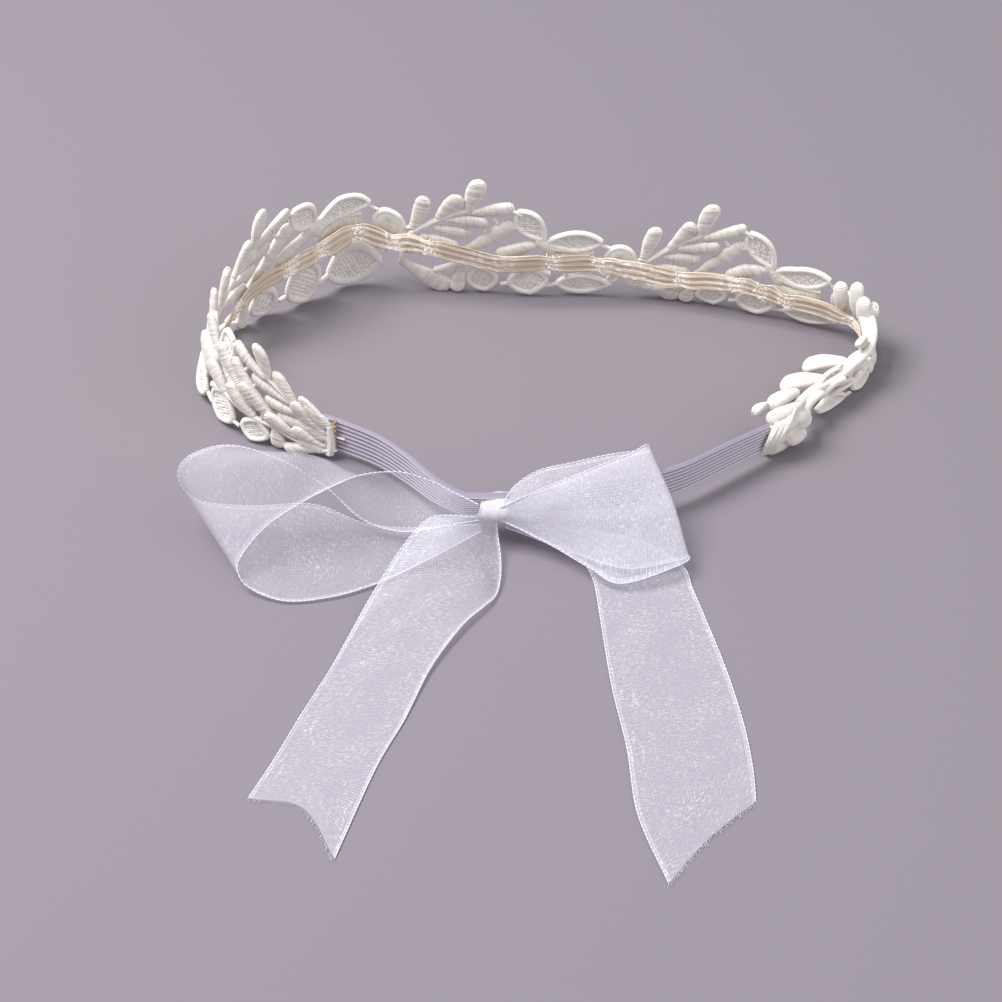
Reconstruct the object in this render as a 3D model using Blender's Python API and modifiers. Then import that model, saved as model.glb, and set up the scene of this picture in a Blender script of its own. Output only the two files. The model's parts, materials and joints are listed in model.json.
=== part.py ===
"""Lace halo headband: a ring of guipure lace backed by a satin ribbon, closed by a flat elastic,
with an organza bow tied round the elastic. Metres, +Z up. The headband lies on its lower edge:
X runs left to right, the lace stands at +Y and the bow's tails lie towards -Y."""

import math

import bmesh
import bpy
from mathutils import Matrix, Vector

MM = 0.001

# Everything below is drawn from the lace's own datum; the whole part is then moved by this
# much, so that the middle of its footprint is the origin.
FOOTPRINT_CENTRE = (0.0, 2.1, 0.0)

# Lace: five repeats of one motif along the ring.
REPEATS = 5
REPEAT_LENGTH = 57.0
FIRST_SPRIG = 17.0
LACE_END = 270.0
LEAF_THICKNESS = 2.6
BAR_RADIUS = 0.7
LOWEST_LACE = 0.15

# Satin ribbon sewn inside the lace.
SATIN_WIDTH = 6.0
SATIN_THICKNESS = 0.4
SATIN_HEIGHT = 10.5
SATIN_INSET = -2.2
SATIN_START = 9.0
SATIN_END = 266.0

# Organza ribbon of the bow.
ORGANZA_THICKNESS = 0.6
KNOT_CENTRE = (-12.0, 9.6, 8.8)
KNOT_LENGTH = 6.0
KNOT_HOLE = 2.9

# A point on each joint's axis: where that piece turns, or the knot it slides with.
PIVOTS = {
    "bow_knot": KNOT_CENTRE,
    "left_tail_fold": KNOT_CENTRE,
    "right_tail_root": KNOT_CENTRE,
    "left_loop": (-15.6, 5.4, 9.0),
    "right_loop": (-8.4, 5.0, 12.5),
    "left_tail": (-27.0, -15.9, 3.9),
    "right_tail": (22.7, -12.5, 0.9),
}

# Ground line of the lace in plan, from the left join round the back to the right knob:
# (x, y, lean outwards in degrees), in millimetres.
RING_LINE = (
    (-48, 34, -8),
    (-60, 37.5, -8),
    (-72, 43, -10),
    (-80, 53, -12),
    (-83, 64, -14),
    (-80, 75, -12),
    (-72, 84, -8),
    (-60, 91, -4),
    (-45, 97.7, 1.6),
    (-25, 97.2, 2.4),
    (-5, 95.5, 1.6),
    (15, 95, 0),
    (33, 93.5, 0),
    (50, 89, 0),
    (65, 84, 2),
    (78.4, 77.6, 6),
    (81.3, 68, 2),
    (75, 56.5, -4),
    (67.4, 47.4, -4),
    (59.6, 38, 0),
)

# How the lace stands on a table: (along the ring, how far its upper part is raised), in
# millimetres. Below LOWER_PART the leaves stretch or fold to suit.
SETTLE = (
    (-20, 0.0),
    (61, 0.0),
    (75, 1.6),
    (86, 4.4),
    (104, 5.6),
    (114, 3.8),
    (131, 1.7),
    (144, 0.0),
    (169, -3.4),
    (178, -3.6),
    (188, -2.8),
    (201, -1.0),
    (212, -3.4),
    (222, -5.0),
    (236, 0.0),
    (300, 0.0),
)
LOWER_PART = 12.0

# The share of its height that the lace keeps: its last repeat is folded low.
STANDING = (
    (222, 0.94),
    (232, 0.62),
    (242, 0.45),
    (300, 0.45),
)

# The upper part of the motif as drawn slopes down from its sprig to its bud: (along, rise).
MOTIF_SLOPE = ((-13.0, 3.4), (38.0, -3.4))

# Motif, flat: (root along, root up, tip along, tip up, width), from the sprig's centre.
SPRIG = (
    (-14.5, 21.8, -11.5, 32.6, 4.2),
    (-8.6, 24.8, -3.0, 33.0, 4.4),
    (-1.6, 28.0, 1.8, 37.0, 4.4),
    (-1.4, 28.6, 8.6, 28.4, 4.0),
    (-5.4, 26.6, 3.4, 25.0, 3.8),
    (-9.6, 24.0, -0.6, 21.6, 3.8),
    (-13.8, 22.2, -4.0, 18.0, 4.0),
    (-2.6, 15.6, 9.4, 23.2, 4.4),
)
SPRIG_BARS = (
    (-15.4, 21.4, 0.4, 29.4),
    (-5.2, 18.4, -1.4, 16.2),
)
PETALS = (
    (20.4, 19.2, 13.2, 28.2, 6.4),
    (19.4, 19.4, 31.8, 18.6, 5.4),
    (21.0, 18.6, 8.0, 14.2, 4.6),
    (20.6, 14.0, 29.4, 15.0, 3.8),
)
PETAL_BARS = (
    (19.2, 20.8, 19.2, 17.4),
    (20.4, 19.0, 21.6, 14.0),
)
BUD = (36.0, 13.4, 4.5)
BUD_BARS = (
    (36.0, 13.4, 32.9, 17.9),
    (36.0, 13.4, 40.0, 16.2),
)
LOWER = (
    (-15.2, 11.4, -5.2, 1.9, 5.6),
    (-3.0, 9.6, -3.0, 1.2, 3.4),
    (1.6, 9.8, 1.6, 1.4, 4.6),
    (6.0, 9.8, 7.2, 1.8, 5.0),
    (11.6, 8.6, 19.0, 2.8, 7.0),
    (31.6, 5.4, 19.2, 4.4, 5.0),
)
# Leaves of the last sprig that lie inwards over the table: (along, up, in) at the root, then at
# the tip, and the width.
LYING_LEAVES = (
    (4.6, 22.0, 0.2, 8.0, 10.0, 9.8, 4.4),
    (8.6, 22.8, 0.2, 15.4, 10.0, 10.6, 4.4),
)
LOWER_BARS = (
    (-11.8, 9.2, 13.4, 7.6),
    (14.2, 6.8, 30.4, 8.2),
    (30.2, 8.9, 29.6, 4.8),
)

# Elastic: (x, y, bottom, top, thickness), in millimetres. It is straight where the bow slides.
ELASTIC = (
    (-58.0, 42.4, 1.5, 11.5, 1.2),
    (-47.0, 38.8, 1.5, 11.5, 1.2),
    (-38.0, 32.0, 1.8, 11.6, 1.2),
    (-31.0, 23.8, 2.6, 11.6, 1.4),
    (-25.0, 15.6, 4.4, 11.7, 1.8),
    (-19.0, 10.2, 6.0, 11.7, 2.2),
    (-15.0, 9.6, 6.2, 11.6, 2.2),
    (-9.0, 9.6, 6.2, 11.6, 2.2),
    (-5.0, 9.6, 6.2, 11.6, 2.2),
    (2.0, 11.2, 5.6, 11.8, 2.0),
    (11.0, 12.6, 4.6, 12.2, 1.6),
    (20.0, 14.6, 3.8, 12.6, 1.4),
    (32.0, 19.4, 3.6, 13.0, 1.2),
    (44.0, 27.2, 4.0, 13.6, 1.2),
    (54.0, 33.2, 4.5, 14.0, 1.2),
)

# Bow: rows across the ribbon, each (edge, middle, edge) in millimetres, from the knot outwards.
LEFT_LOOP = (
    ((-16.2, 4.2, 7.0), (-16.2, 5.4, 9.4), (-16.2, 6.8, 11.4)),
    ((-20.0, 5.8, 9.6), (-20.5, 6.0, 12.2), (-20.5, 7.2, 10.4)),
    ((-27.0, 7.0, 14.6), (-28.0, 7.6, 16.8), (-27.0, 9.0, 11.0)),
    ((-37.0, 6.0, 19.5), (-38.0, 8.6, 21.8), (-38.0, 11.0, 14.0)),
    ((-49.0, 2.0, 19.5), (-50.0, 8.0, 24.6), (-51.0, 13.0, 20.0)),
    ((-60.0, -1.0, 14.6), (-63.0, 8.0, 22.6), (-67.0, 13.5, 23.0)),
    ((-67.0, -6.0, 10.0), (-73.5, 5.0, 17.0), (-79.5, 13.0, 20.0)),
    ((-69.5, -8.4, 5.8), (-77.0, 3.0, 10.6), (-83.4, 12.6, 14.4)),
    ((-66.5, -11.0, 2.2), (-73.0, 1.0, 4.6), (-79.0, 11.0, 7.4)),
    ((-58.0, -14.0, 0.8), (-61.0, -2.0, 1.2), (-66.0, 9.4, 3.2)),
    ((-47.0, -12.4, 0.8), (-48.5, -1.0, 1.0), (-52.0, 10.2, 3.0)),
    ((-37.0, -8.0, 0.8), (-38.5, 1.0, 1.2), (-41.0, 9.6, 3.0)),
    ((-27.0, -2.2, 1.6), (-28.0, 3.0, 2.2), (-30.0, 8.2, 3.0)),
    ((-18.0, 3.2, 3.8), (-18.0, 5.0, 4.0), (-18.0, 6.8, 4.2)),
)
RIGHT_LOOP = (
    ((-7.6, 3.6, 7.0), (-7.6, 3.0, 9.0), (-7.6, 3.8, 11.0)),
    ((-3.0, 0.6, 8.0), (-2.0, 2.6, 11.6), (0.0, 6.4, 14.6)),
    ((3.0, -3.2, 6.6), (5.0, 3.0, 12.4), (7.0, 9.4, 17.0)),
    ((11.0, -6.4, 4.4), (13.0, 4.0, 12.2), (15.0, 13.4, 18.4)),
    ((21.0, -8.0, 3.2), (20.6, 4.0, 11.4), (19.4, 16.0, 18.8)),
    ((32.0, -4.6, 5.0), (28.4, 7.4, 12.4), (23.6, 19.0, 18.2)),
    ((33.0, -3.8, 3.9), (29.4, 8.6, 10.9), (24.6, 20.4, 16.6)),
    ((31.0, -3.4, 2.9), (28.0, 8.4, 9.6), (22.4, 19.8, 15.6)),
    ((21.0, -5.0, 1.9), (20.8, 6.6, 9.0), (15.6, 17.0, 15.8)),
    ((11.6, -3.4, 2.2), (11.6, 4.0, 9.0), (8.6, 13.4, 15.6)),
    ((2.0, 0.0, 4.0), (3.0, 4.6, 9.4), (1.0, 9.2, 14.4)),
    ((-6.4, 5.8, 6.8), (-6.4, 5.4, 8.6), (-6.4, 6.4, 11.2)),
)
LEFT_TAIL_FOLD = (
    ((-15.4, 2.4, 7.0), (-13.0, 2.2, 8.0), (-10.4, 2.4, 5.4)),
    ((-21.0, 1.6, 8.0), (-17.6, 0.6, 9.6), (-10.0, 1.0, 3.2)),
    ((-26.0, 0.0, 7.2), (-19.0, -3.0, 10.4), (-9.6, -3.0, 1.7)),
    ((-31.0, -3.0, 5.4), (-18.6, -8.0, 8.4), (-9.6, -8.0, 1.0)),
    ((-37.0, -9.6, 3.2), (-18.0, -12.2, 4.6), (-10.8, -12.8, 0.9)),
    ((-40.2, -15.4, 1.9), (-24.0, -15.4, 3.6), (-13.6, -15.4, 1.4)),
)
LEFT_TAIL = (
    ((-40.7, -16.4, 1.7), (-25.0, -16.4, 3.3), (-14.4, -16.4, 1.5)),
    ((-42.8, -22.0, 0.8), (-29.0, -22.0, 2.4), (-17.4, -22.0, 1.6)),
    ((-47.0, -33.0, 0.3), (-35.0, -34.0, 1.2), (-24.0, -34.0, 1.0)),
    ((-53.0, -49.0, 0.3), (-41.0, -50.0, 0.3), (-30.0, -50.0, 0.3)),
    ((-59.0, -64.0, 0.3), (-47.0, -65.0, 0.3), (-36.6, -66.0, 0.3)),
    ((-63.0, -74.0, 0.3), (-51.0, -78.0, 0.3), (-43.6, -90.0, 0.3)),
)
RIGHT_TAIL_ROOT = (
    ((-8.4, 2.0, 3.4), (-7.8, 3.0, 3.6), (-7.4, 4.4, 3.9)),
    ((1.0, -2.6, 1.1), (5.0, 0.6, 1.0), (10.0, 4.0, 1.2)),
    ((8.0, -5.4, 0.5), (16.0, -3.6, 0.4), (25.0, 0.6, 0.6)),
    ((11.6, -9.4, 0.4), (22.0, -9.4, 0.3), (32.4, -6.4, 0.5)),
    ((12.6, -12.4, 0.4), (22.6, -12.0, 0.3), (33.2, -9.4, 0.5)),
)
RIGHT_TAIL = (
    ((12.8, -13.4, 0.4), (22.8, -13.0, 0.3), (33.4, -10.4, 0.5)),
    ((14.0, -24.0, 0.3), (24.6, -23.0, 0.3), (35.4, -18.0, 0.3)),
    ((15.4, -40.0, 0.3), (27.4, -38.0, 0.3), (39.6, -33.0, 0.3)),
    ((17.4, -58.0, 0.3), (30.4, -54.0, 0.3), (43.6, -50.0, 0.3)),
    ((19.6, -78.0, 0.3), (32.8, -72.0, 0.3), (45.4, -66.0, 0.3)),
    ((25.0, -96.0, 0.3), (36.0, -84.0, 0.3), (45.6, -74.0, 0.3)),
)

# Colours, as linear RGB.
LACE_COLOUR = (0.80, 0.76, 0.68)
SATIN_COLOUR = (0.72, 0.56, 0.44)
ELASTIC_COLOUR = (0.72, 0.70, 0.80)
ORGANZA_COLOUR = (0.74, 0.74, 0.86)
THREAD_COLOUR = (0.60, 0.48, 0.34)
KNOT_THREAD_COLOUR = (0.42, 0.42, 0.50)


def clear_scene():
    for obj in list(bpy.data.objects):
        bpy.data.objects.remove(obj, do_unlink=True)


def new_collection(name):
    collection = bpy.data.collections.new(name)
    bpy.context.scene.collection.children.link(collection)
    return collection


def make_material(name, colour, roughness):
    material = bpy.data.materials.new(name)
    material.use_nodes = True
    shader = material.node_tree.nodes["Principled BSDF"]
    shader.inputs["Base Color"].default_value = (*colour, 1.0)
    shader.inputs["Roughness"].default_value = roughness
    shader.inputs["Metallic"].default_value = 0.0
    return material


def spline(points, t):
    """The point at t, from 0 to len(points) - 1, on a smooth curve through the points."""
    last = len(points) - 1
    i = min(int(t), last - 1)
    f = t - i
    here = points[i]
    there = points[i + 1]
    before = points[i - 1] if i > 0 else [2 * a - b for a, b in zip(here, there)]
    after = points[i + 2] if i + 2 <= last else [2 * b - a for a, b in zip(here, there)]
    return [
        0.5 * (2 * b + (c - a) * f + (2 * a - 5 * b + 4 * c - d) * f**2 + (3 * b - a - 3 * c + d) * f**3)
        for a, b, c, d in zip(before, here, there, after)
    ]


def part_above(up):
    """0 at the lace's lower edge, and 1 from the top of its lower leaves upwards."""
    share = min(max(up / LOWER_PART, 0.0), 1.0)
    return share * share * (3 - 2 * share)


def between(rows, along):
    """The value at this length in a table of (along, value), level past either end."""
    if along <= rows[0][0]:
        return rows[0][1]
    for (start, low), (end, high) in zip(rows, rows[1:]):
        if along <= end:
            return low + (high - low) * (along - start) / (end - start)
    return rows[-1][1]


class Ring:
    """The lace's standing wall: places a flat (along, out, up) point on the ring, in millimetres."""

    STEPS = 12

    def __init__(self, line):
        count = (len(line) - 1) * self.STEPS
        self.samples = [spline(line, i / self.STEPS) for i in range(count + 1)]
        self.lengths = [0.0]
        for a, b in zip(self.samples, self.samples[1:]):
            self.lengths.append(self.lengths[-1] + math.dist(a[:2], b[:2]))

    def sample(self, along):
        """(x, y, lean) at this length, running on straight past either end."""
        i = 0
        while i < len(self.lengths) - 2 and self.lengths[i + 1] < along:
            i += 1
        share = (along - self.lengths[i]) / (self.lengths[i + 1] - self.lengths[i])
        return [a + (b - a) * share for a, b in zip(self.samples[i], self.samples[i + 1])]

    def place(self, along, out, up):
        up = up * between(STANDING, along) + between(SETTLE, along) * part_above(up)
        x, y, lean = self.sample(along)
        ahead = self.sample(along + 1.5)
        behind = self.sample(along - 1.5)
        forward = Vector((ahead[0] - behind[0], ahead[1] - behind[1], 0)).normalized()
        outward = Vector((-forward.y, forward.x, 0))
        rise = Vector((0, 0, 1)) * math.cos(math.radians(lean)) + outward * math.sin(math.radians(lean))
        across = rise.cross(forward)
        point = Vector((x, y, 0)) + rise * up + across * out
        point.z = max(point.z, LOWEST_LACE)
        return point * MM


def mesh_object(name, bm, collection):
    mesh = bpy.data.meshes.new(name)
    bm.to_mesh(mesh)
    bm.free()
    obj = bpy.data.objects.new(name, mesh)
    collection.objects.link(obj)
    return obj


def leaf(root_along, root_up, tip_along, tip_up, width, thickness=LEAF_THICKNESS):
    """A padded leaf, lying flat from root to tip and wider towards the tip."""
    length = math.hypot(tip_along - root_along, tip_up - root_up)
    angle = math.atan2(tip_up - root_up, tip_along - root_along)
    bm = bmesh.new()
    bmesh.ops.create_uvsphere(bm, u_segments=6, v_segments=5, radius=0.5)
    for vert in bm.verts:
        run, deep, side = vert.co.z, vert.co.y, vert.co.x
        swell = 1.0 + 0.45 * run
        x = (run + 0.5) * length
        z = side * width * swell
        vert.co = Vector((
            root_along + x * math.cos(angle) - z * math.sin(angle),
            deep * thickness,
            root_up + x * math.sin(angle) + z * math.cos(angle),
        ))
    bmesh.ops.recalc_face_normals(bm, faces=bm.faces)
    return bm


def bar(from_along, from_up, to_along, to_up, radius=BAR_RADIUS):
    """A straight thread bar between two flat points."""
    start = Vector((from_along, 0, from_up))
    end = Vector((to_along, 0, to_up))
    bm = bmesh.new()
    bmesh.ops.create_cone(
        bm, cap_ends=True, segments=6, radius1=radius, radius2=radius, depth=(end - start).length
    )
    turn = (end - start).to_track_quat("Z", "Y").to_matrix().to_4x4()
    turn.translation = (start + end) / 2
    bmesh.ops.transform(bm, matrix=turn, verts=bm.verts)
    return bm


def union(name, shapes, collection, helpers):
    """One mesh object that joins all the shapes."""
    objects = [mesh_object(f"{name}_shape_{i}", bm, helpers) for i, bm in enumerate(shapes)]
    first = objects[0]
    for other in objects[1:]:
        modifier = first.modifiers.new("join", "BOOLEAN")
        modifier.operation = "UNION"
        modifier.object = other
    bpy.context.view_layer.update()
    graph = bpy.context.evaluated_depsgraph_get()
    mesh = bpy.data.meshes.new_from_object(first.evaluated_get(graph))
    mesh.name = name
    for obj in objects:
        bpy.data.objects.remove(obj, do_unlink=True)
    joined = bpy.data.objects.new(name, mesh)
    collection.objects.link(joined)
    return joined


def bend_onto_ring(obj, ring, offset):
    """Moves a flat motif, drawn round its sprig's centre, to its place on the ring."""
    for vert in obj.data.vertices:
        along, out, up = vert.co
        up -= between(MOTIF_SLOPE, along) * part_above(up)
        vert.co = ring.place(offset + along, out, up)


def lying_leaf(from_along, from_up, from_in, to_along, to_up, to_in, width):
    """A leaf that leaves the lace's wall and lies inwards, with its faces up and down."""
    start = Vector((from_along, -from_in, from_up))
    end = Vector((to_along, -to_in, to_up))
    level = Vector((end.x - start.x, end.y - start.y, 0))
    bm = leaf(0.0, 0.0, level.length, 0.0, width)
    ahead = level.normalized()
    aside = Vector((-ahead.y, ahead.x, 0))
    for vert in bm.verts:
        run, thick, side = vert.co
        share = run / level.length
        vert.co = start + ahead * run + aside * side + Vector((0, 0, (end.z - start.z) * share + 1.8 * thick))
    bmesh.ops.recalc_face_normals(bm, faces=bm.faces)
    return bm


def lace_piece(name, leaves, bars, offset, ring, places, lying=()):
    """One named lace motif: leaves and bars joined, then bent onto the ring."""
    kept = [row for row in leaves if 0.5 < offset + min(row[0], row[2]) and offset + max(row[0], row[2]) < LACE_END]
    shapes = [leaf(*row) for row in kept]
    for start_along, start_up, end_along, end_up in bars:
        end_along = min(end_along, LACE_END - offset - 4)
        start_along = max(start_along, 1.0 - offset)
        if end_along - start_along > -0.5:
            shapes.append(bar(start_along, start_up, end_along, end_up))
    shapes += [lying_leaf(*row) for row in lying]
    obj = union(name, shapes, places["parts"], places["helpers"])
    bend_onto_ring(obj, ring, offset)
    obj.data.materials.clear()
    obj.data.materials.append(make_material(name, LACE_COLOUR, 0.9))


def build_lace(ring, places):
    for i in range(REPEATS):
        offset = FIRST_SPRIG + i * REPEAT_LENGTH
        number = i + 1
        last = number == REPEATS
        lying = LYING_LEAVES if last else ()
        lace_piece(f"lace_sprig_{number}", SPRIG, SPRIG_BARS, offset, ring, places, lying)
        petals = (PETALS[0], PETALS[2]) if last else PETALS
        petal_bars = PETAL_BARS[:1] if last else PETAL_BARS
        lace_piece(f"lace_petals_{number}", petals, petal_bars, offset, ring, places)
        lower = LOWER[:-1] if last else LOWER
        lower_bars = LOWER_BARS[:1] if last else LOWER_BARS
        lace_piece(f"lace_lower_leaves_{number}", lower, lower_bars, offset, ring, places)
        if not last:
            along, up, radius = BUD
            round_bud = ((along - radius, up, along + radius, up, 2 * radius),)
            lace_piece(f"lace_bud_{number}", round_bud, BUD_BARS, offset, ring, places)


def build_left_end(ring, places):
    """The lace's left end: three leaves gathered and sewn flat over the elastic."""
    leaves = (
        (-4.4, 1.8, 1.2, 3.4, 3.4),
        (-4.4, 6.2, 1.0, 8.2, 4.6),
        (-4.6, 10.6, 0.4, 14.0, 3.6),
    )
    shapes = [leaf(*row) for row in leaves]
    shapes.append(bar(-3.8, 1.6, -3.8, 12.4, 1.1))
    obj = union("lace_end_left", shapes, places["parts"], places["helpers"])
    bend_onto_ring(obj, ring, 0.0)
    obj.data.materials.clear()
    obj.data.materials.append(make_material("lace_end_left", LACE_COLOUR, 0.9))


def lump(centre, radii):
    bm = bmesh.new()
    bmesh.ops.create_uvsphere(bm, u_segments=12, v_segments=8, radius=1.0)
    for vert in bm.verts:
        vert.co = Vector(centre) * MM + Vector([c * r * MM for c, r in zip(vert.co, radii)])
    return bm


def box(centre, size, turn_deg):
    """A cuboid turned about the vertical, in millimetres."""
    bm = bmesh.new()
    bmesh.ops.create_cube(bm, size=1.0)
    angle = math.radians(turn_deg)
    for vert in bm.verts:
        x, y, z = (c * s for c, s in zip(vert.co, size))
        vert.co = Vector((
            centre[0] + x * math.cos(angle) - y * math.sin(angle),
            centre[1] + x * math.sin(angle) + y * math.cos(angle),
            centre[2] + z,
        )) * MM
    return bm


def build_right_end(places):
    """The lace's right end, folded over the elastic into a knob with a pocket for the elastic."""
    shapes = [
        lump((58.0, 35.6, 8.4), (6.4, 5.6, 8.2)),
        lump((61.4, 37.6, 11.6), (4.8, 4.2, 6.6)),
        lump((55.4, 37.2, 15.4), (4.4, 2.8, 3.0)),
    ]
    obj = union("lace_end_right", shapes, places["parts"], places["helpers"])
    pocket = mesh_object("pocket", box((52.5, 32.4, 9.3), (6.4, 2.0, 10.6), 31), places["helpers"])
    modifier = obj.modifiers.new("pocket", "BOOLEAN")
    modifier.operation = "DIFFERENCE"
    modifier.object = pocket
    obj.data.materials.clear()
    obj.data.materials.append(make_material("lace_end_right", LACE_COLOUR, 0.9))
    pocket.hide_render = True
    pocket.display_type = "WIRE"


def sheet(name, rows, thickness, material, collection, steps=2, columns=4):
    """A cloth strip: a smooth surface through rows of (edge, middle, edge), then Solidify."""
    bm = bmesh.new()
    grid = []
    lowest = thickness / 2
    for i in range((len(rows) - 1) * steps + 1):
        guides = [spline([row[k] for row in rows], i / steps) for k in range(3)]
        line = [spline(guides, 2 * j / columns) for j in range(columns + 1)]
        line = [(x, y, max(z, lowest)) for x, y, z in line]
        grid.append([bm.verts.new(Vector(p) * MM) for p in line])
    for a, b in zip(grid, grid[1:]):
        for j in range(columns):
            bm.faces.new((a[j], a[j + 1], b[j + 1], b[j]))
    obj = mesh_object(name, bm, collection)
    solidify = obj.modifiers.new("thickness", "SOLIDIFY")
    solidify.thickness = thickness * MM
    solidify.offset = 0.0
    obj.data.materials.append(material)
    for polygon in obj.data.polygons:
        polygon.use_smooth = True
    return obj


def build_satin(ring, places):
    """The satin ribbon along the inside of the lace, as an extruded strip."""
    count = 44
    rows = []
    for i in range(count + 1):
        along = SATIN_START + (SATIN_END - SATIN_START) * i / count
        low = ring.place(along, SATIN_INSET, SATIN_HEIGHT - SATIN_WIDTH / 2) / MM
        high = ring.place(along, SATIN_INSET, SATIN_HEIGHT + SATIN_WIDTH / 2) / MM
        rows.append((tuple(low), tuple((low + high) / 2), tuple(high)))
    material = make_material("satin_ribbon", SATIN_COLOUR, 0.35)
    sheet("satin_ribbon", rows, SATIN_THICKNESS, material, places["parts"], steps=1, columns=2)


def thread(name, points, radius, colour, collection):
    """A sewn thread: a round line through the points, in millimetres."""
    curve = bpy.data.curves.new(name, "CURVE")
    curve.dimensions = "3D"
    curve.bevel_depth = radius * MM
    curve.bevel_resolution = 1
    curve.use_fill_caps = True
    line = curve.splines.new("POLY")
    line.points.add(len(points) - 1)
    for point, place in zip(line.points, points):
        point.co = (*(Vector(place) * MM), 1.0)
    obj = bpy.data.objects.new(name, curve)
    obj.data.materials.append(make_material(name, colour, 0.6))
    collection.objects.link(obj)
    return obj


def build_stitches(ring, places):
    """Thread stitches that hold the satin ribbon to the lace, one by each sprig."""
    inset = SATIN_INSET - 0.9
    for i in range(REPEATS):
        along = FIRST_SPRIG + i * REPEAT_LENGTH + 1.0
        points = [
            ring.place(along + slant, inset, SATIN_HEIGHT + rise) / MM
            for slant, rise in ((-1.0, -3.4), (0.0, 0.0), (1.0, 3.4))
        ]
        thread(f"satin_stitch_{i + 1}", points, 0.35, THREAD_COLOUR, places["parts"])


def build_elastic(places):
    """The flat elastic: a solid strip whose section changes where the knot gathers it."""
    steps = 3
    bm = bmesh.new()
    sections = []
    count = (len(ELASTIC) - 1) * steps
    for i in range(count + 1):
        here = spline(ELASTIC, i / steps)
        ahead = spline(ELASTIC, min(i + 1, count) / steps)
        behind = spline(ELASTIC, max(i - 1, 0) / steps)
        forward = Vector((ahead[0] - behind[0], ahead[1] - behind[1], 0)).normalized()
        side = Vector((-forward.y, forward.x, 0)) * here[4] / 2
        centre = Vector((here[0], here[1], 0))
        corners = (centre - side, centre + side)
        low, high = (Vector((0, 0, z)) for z in here[2:4])
        ring = (corners[0] + low, corners[1] + low, corners[1] + high, corners[0] + high)
        sections.append([bm.verts.new(p * MM) for p in ring])
    for a, b in zip(sections, sections[1:]):
        for j in range(4):
            k = (j + 1) % 4
            bm.faces.new((a[j], a[k], b[k], b[j]))
    bm.faces.new(sections[0])
    bm.faces.new(sections[-1])
    bmesh.ops.recalc_face_normals(bm, faces=bm.faces)
    obj = mesh_object("elastic_band", bm, places["parts"])
    obj.data.materials.append(make_material("elastic_band", ELASTIC_COLOUR, 0.7))


def build_join_threads(places):
    """The sewn line at the left join and the wrapped thread on the right knob."""
    left = ((-42.2, 33.2, 2.4), (-42.0, 33.0, 6.8), (-42.2, 33.2, 11.2))
    thread("join_thread_left", left, 0.35, THREAD_COLOUR, places["parts"])
    right = ((53.4, 39.4, 19.4), (56.6, 36.8, 19.6), (59.6, 35.0, 19.4), (62.6, 36.0, 19.2))
    thread("join_thread_right", right, 0.35, KNOT_THREAD_COLOUR, places["parts"])


def build_knot(places):
    """The knot: a soft band of ribbon round the elastic, open through its middle."""
    profile = (
        (KNOT_HOLE, -3.0),
        (4.4, -2.9),
        (5.5, -1.6),
        (5.9, 0.0),
        (5.5, 1.6),
        (4.4, 2.9),
        (KNOT_HOLE, 3.0),
    )
    segments = 20
    bm = bmesh.new()
    rings = []
    for i in range(segments):
        angle = 2 * math.pi * i / segments
        ring = []
        for reach, along in profile:
            inner = reach < KNOT_HOLE + 0.1
            high = reach + 1.0 if inner else reach + 0.2
            deep = reach - 0.7 if inner else reach - 0.5
            place = Vector((along * KNOT_LENGTH / 6, -deep * math.sin(angle), high * math.cos(angle)))
            ring.append(bm.verts.new((Vector(KNOT_CENTRE) + place) * MM))
        rings.append(ring)
    for a, b in zip(rings, rings[1:] + rings[:1]):
        for j in range(len(profile)):
            k = (j + 1) % len(profile)
            bm.faces.new((a[j], a[k], b[k], b[j]))
    bmesh.ops.recalc_face_normals(bm, faces=bm.faces)
    obj = mesh_object("bow_knot", bm, places["parts"])
    obj.data.materials.append(make_material("bow_knot", ORGANZA_COLOUR, 0.4))
    obj.data.shade_smooth()


def build_bow(places):
    build_knot(places)
    pieces = (
        ("left_loop", LEFT_LOOP),
        ("right_loop", RIGHT_LOOP),
        ("left_tail_fold", LEFT_TAIL_FOLD),
        ("left_tail", LEFT_TAIL),
        ("right_tail_root", RIGHT_TAIL_ROOT),
        ("right_tail", RIGHT_TAIL),
    )
    for name, rows in pieces:
        material = make_material(name, ORGANZA_COLOUR, 0.4)
        sheet(name, rows, ORGANZA_THICKNESS, material, places["parts"])


def place_origins(collection):
    """Puts each moving piece's origin on its joint's axis, and centres the whole footprint."""
    for obj in collection.objects:
        pivot = Vector(PIVOTS.get(obj.name, (0, 0, 0))) * MM
        if obj.name in PIVOTS:
            obj.data.transform(Matrix.Translation(-pivot))
        obj.location = pivot - Vector(FOOTPRINT_CENTRE) * MM


def main():
    clear_scene()
    places = {"parts": new_collection("lace_headband"), "helpers": new_collection("cutters")}
    places["helpers"].hide_render = True
    ring = Ring(RING_LINE)
    build_lace(ring, places)
    build_left_end(ring, places)
    build_right_end(places)
    build_satin(ring, places)
    build_stitches(ring, places)
    build_elastic(places)
    build_join_threads(places)
    build_bow(places)
    place_origins(places["parts"])
    place_origins(places["helpers"])


main()
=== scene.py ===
"""The looks of the lace headband: guipure lace sprigs, satin ribbon, ribbed elastic, organza bow.

Points are in millimetres from the lace's own datum, as the CAD tables are, and to_world() moves
them to the row frame. Lace is drawn flat as (along, out, up) and bent onto the standing ring."""

import json
import math

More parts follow.
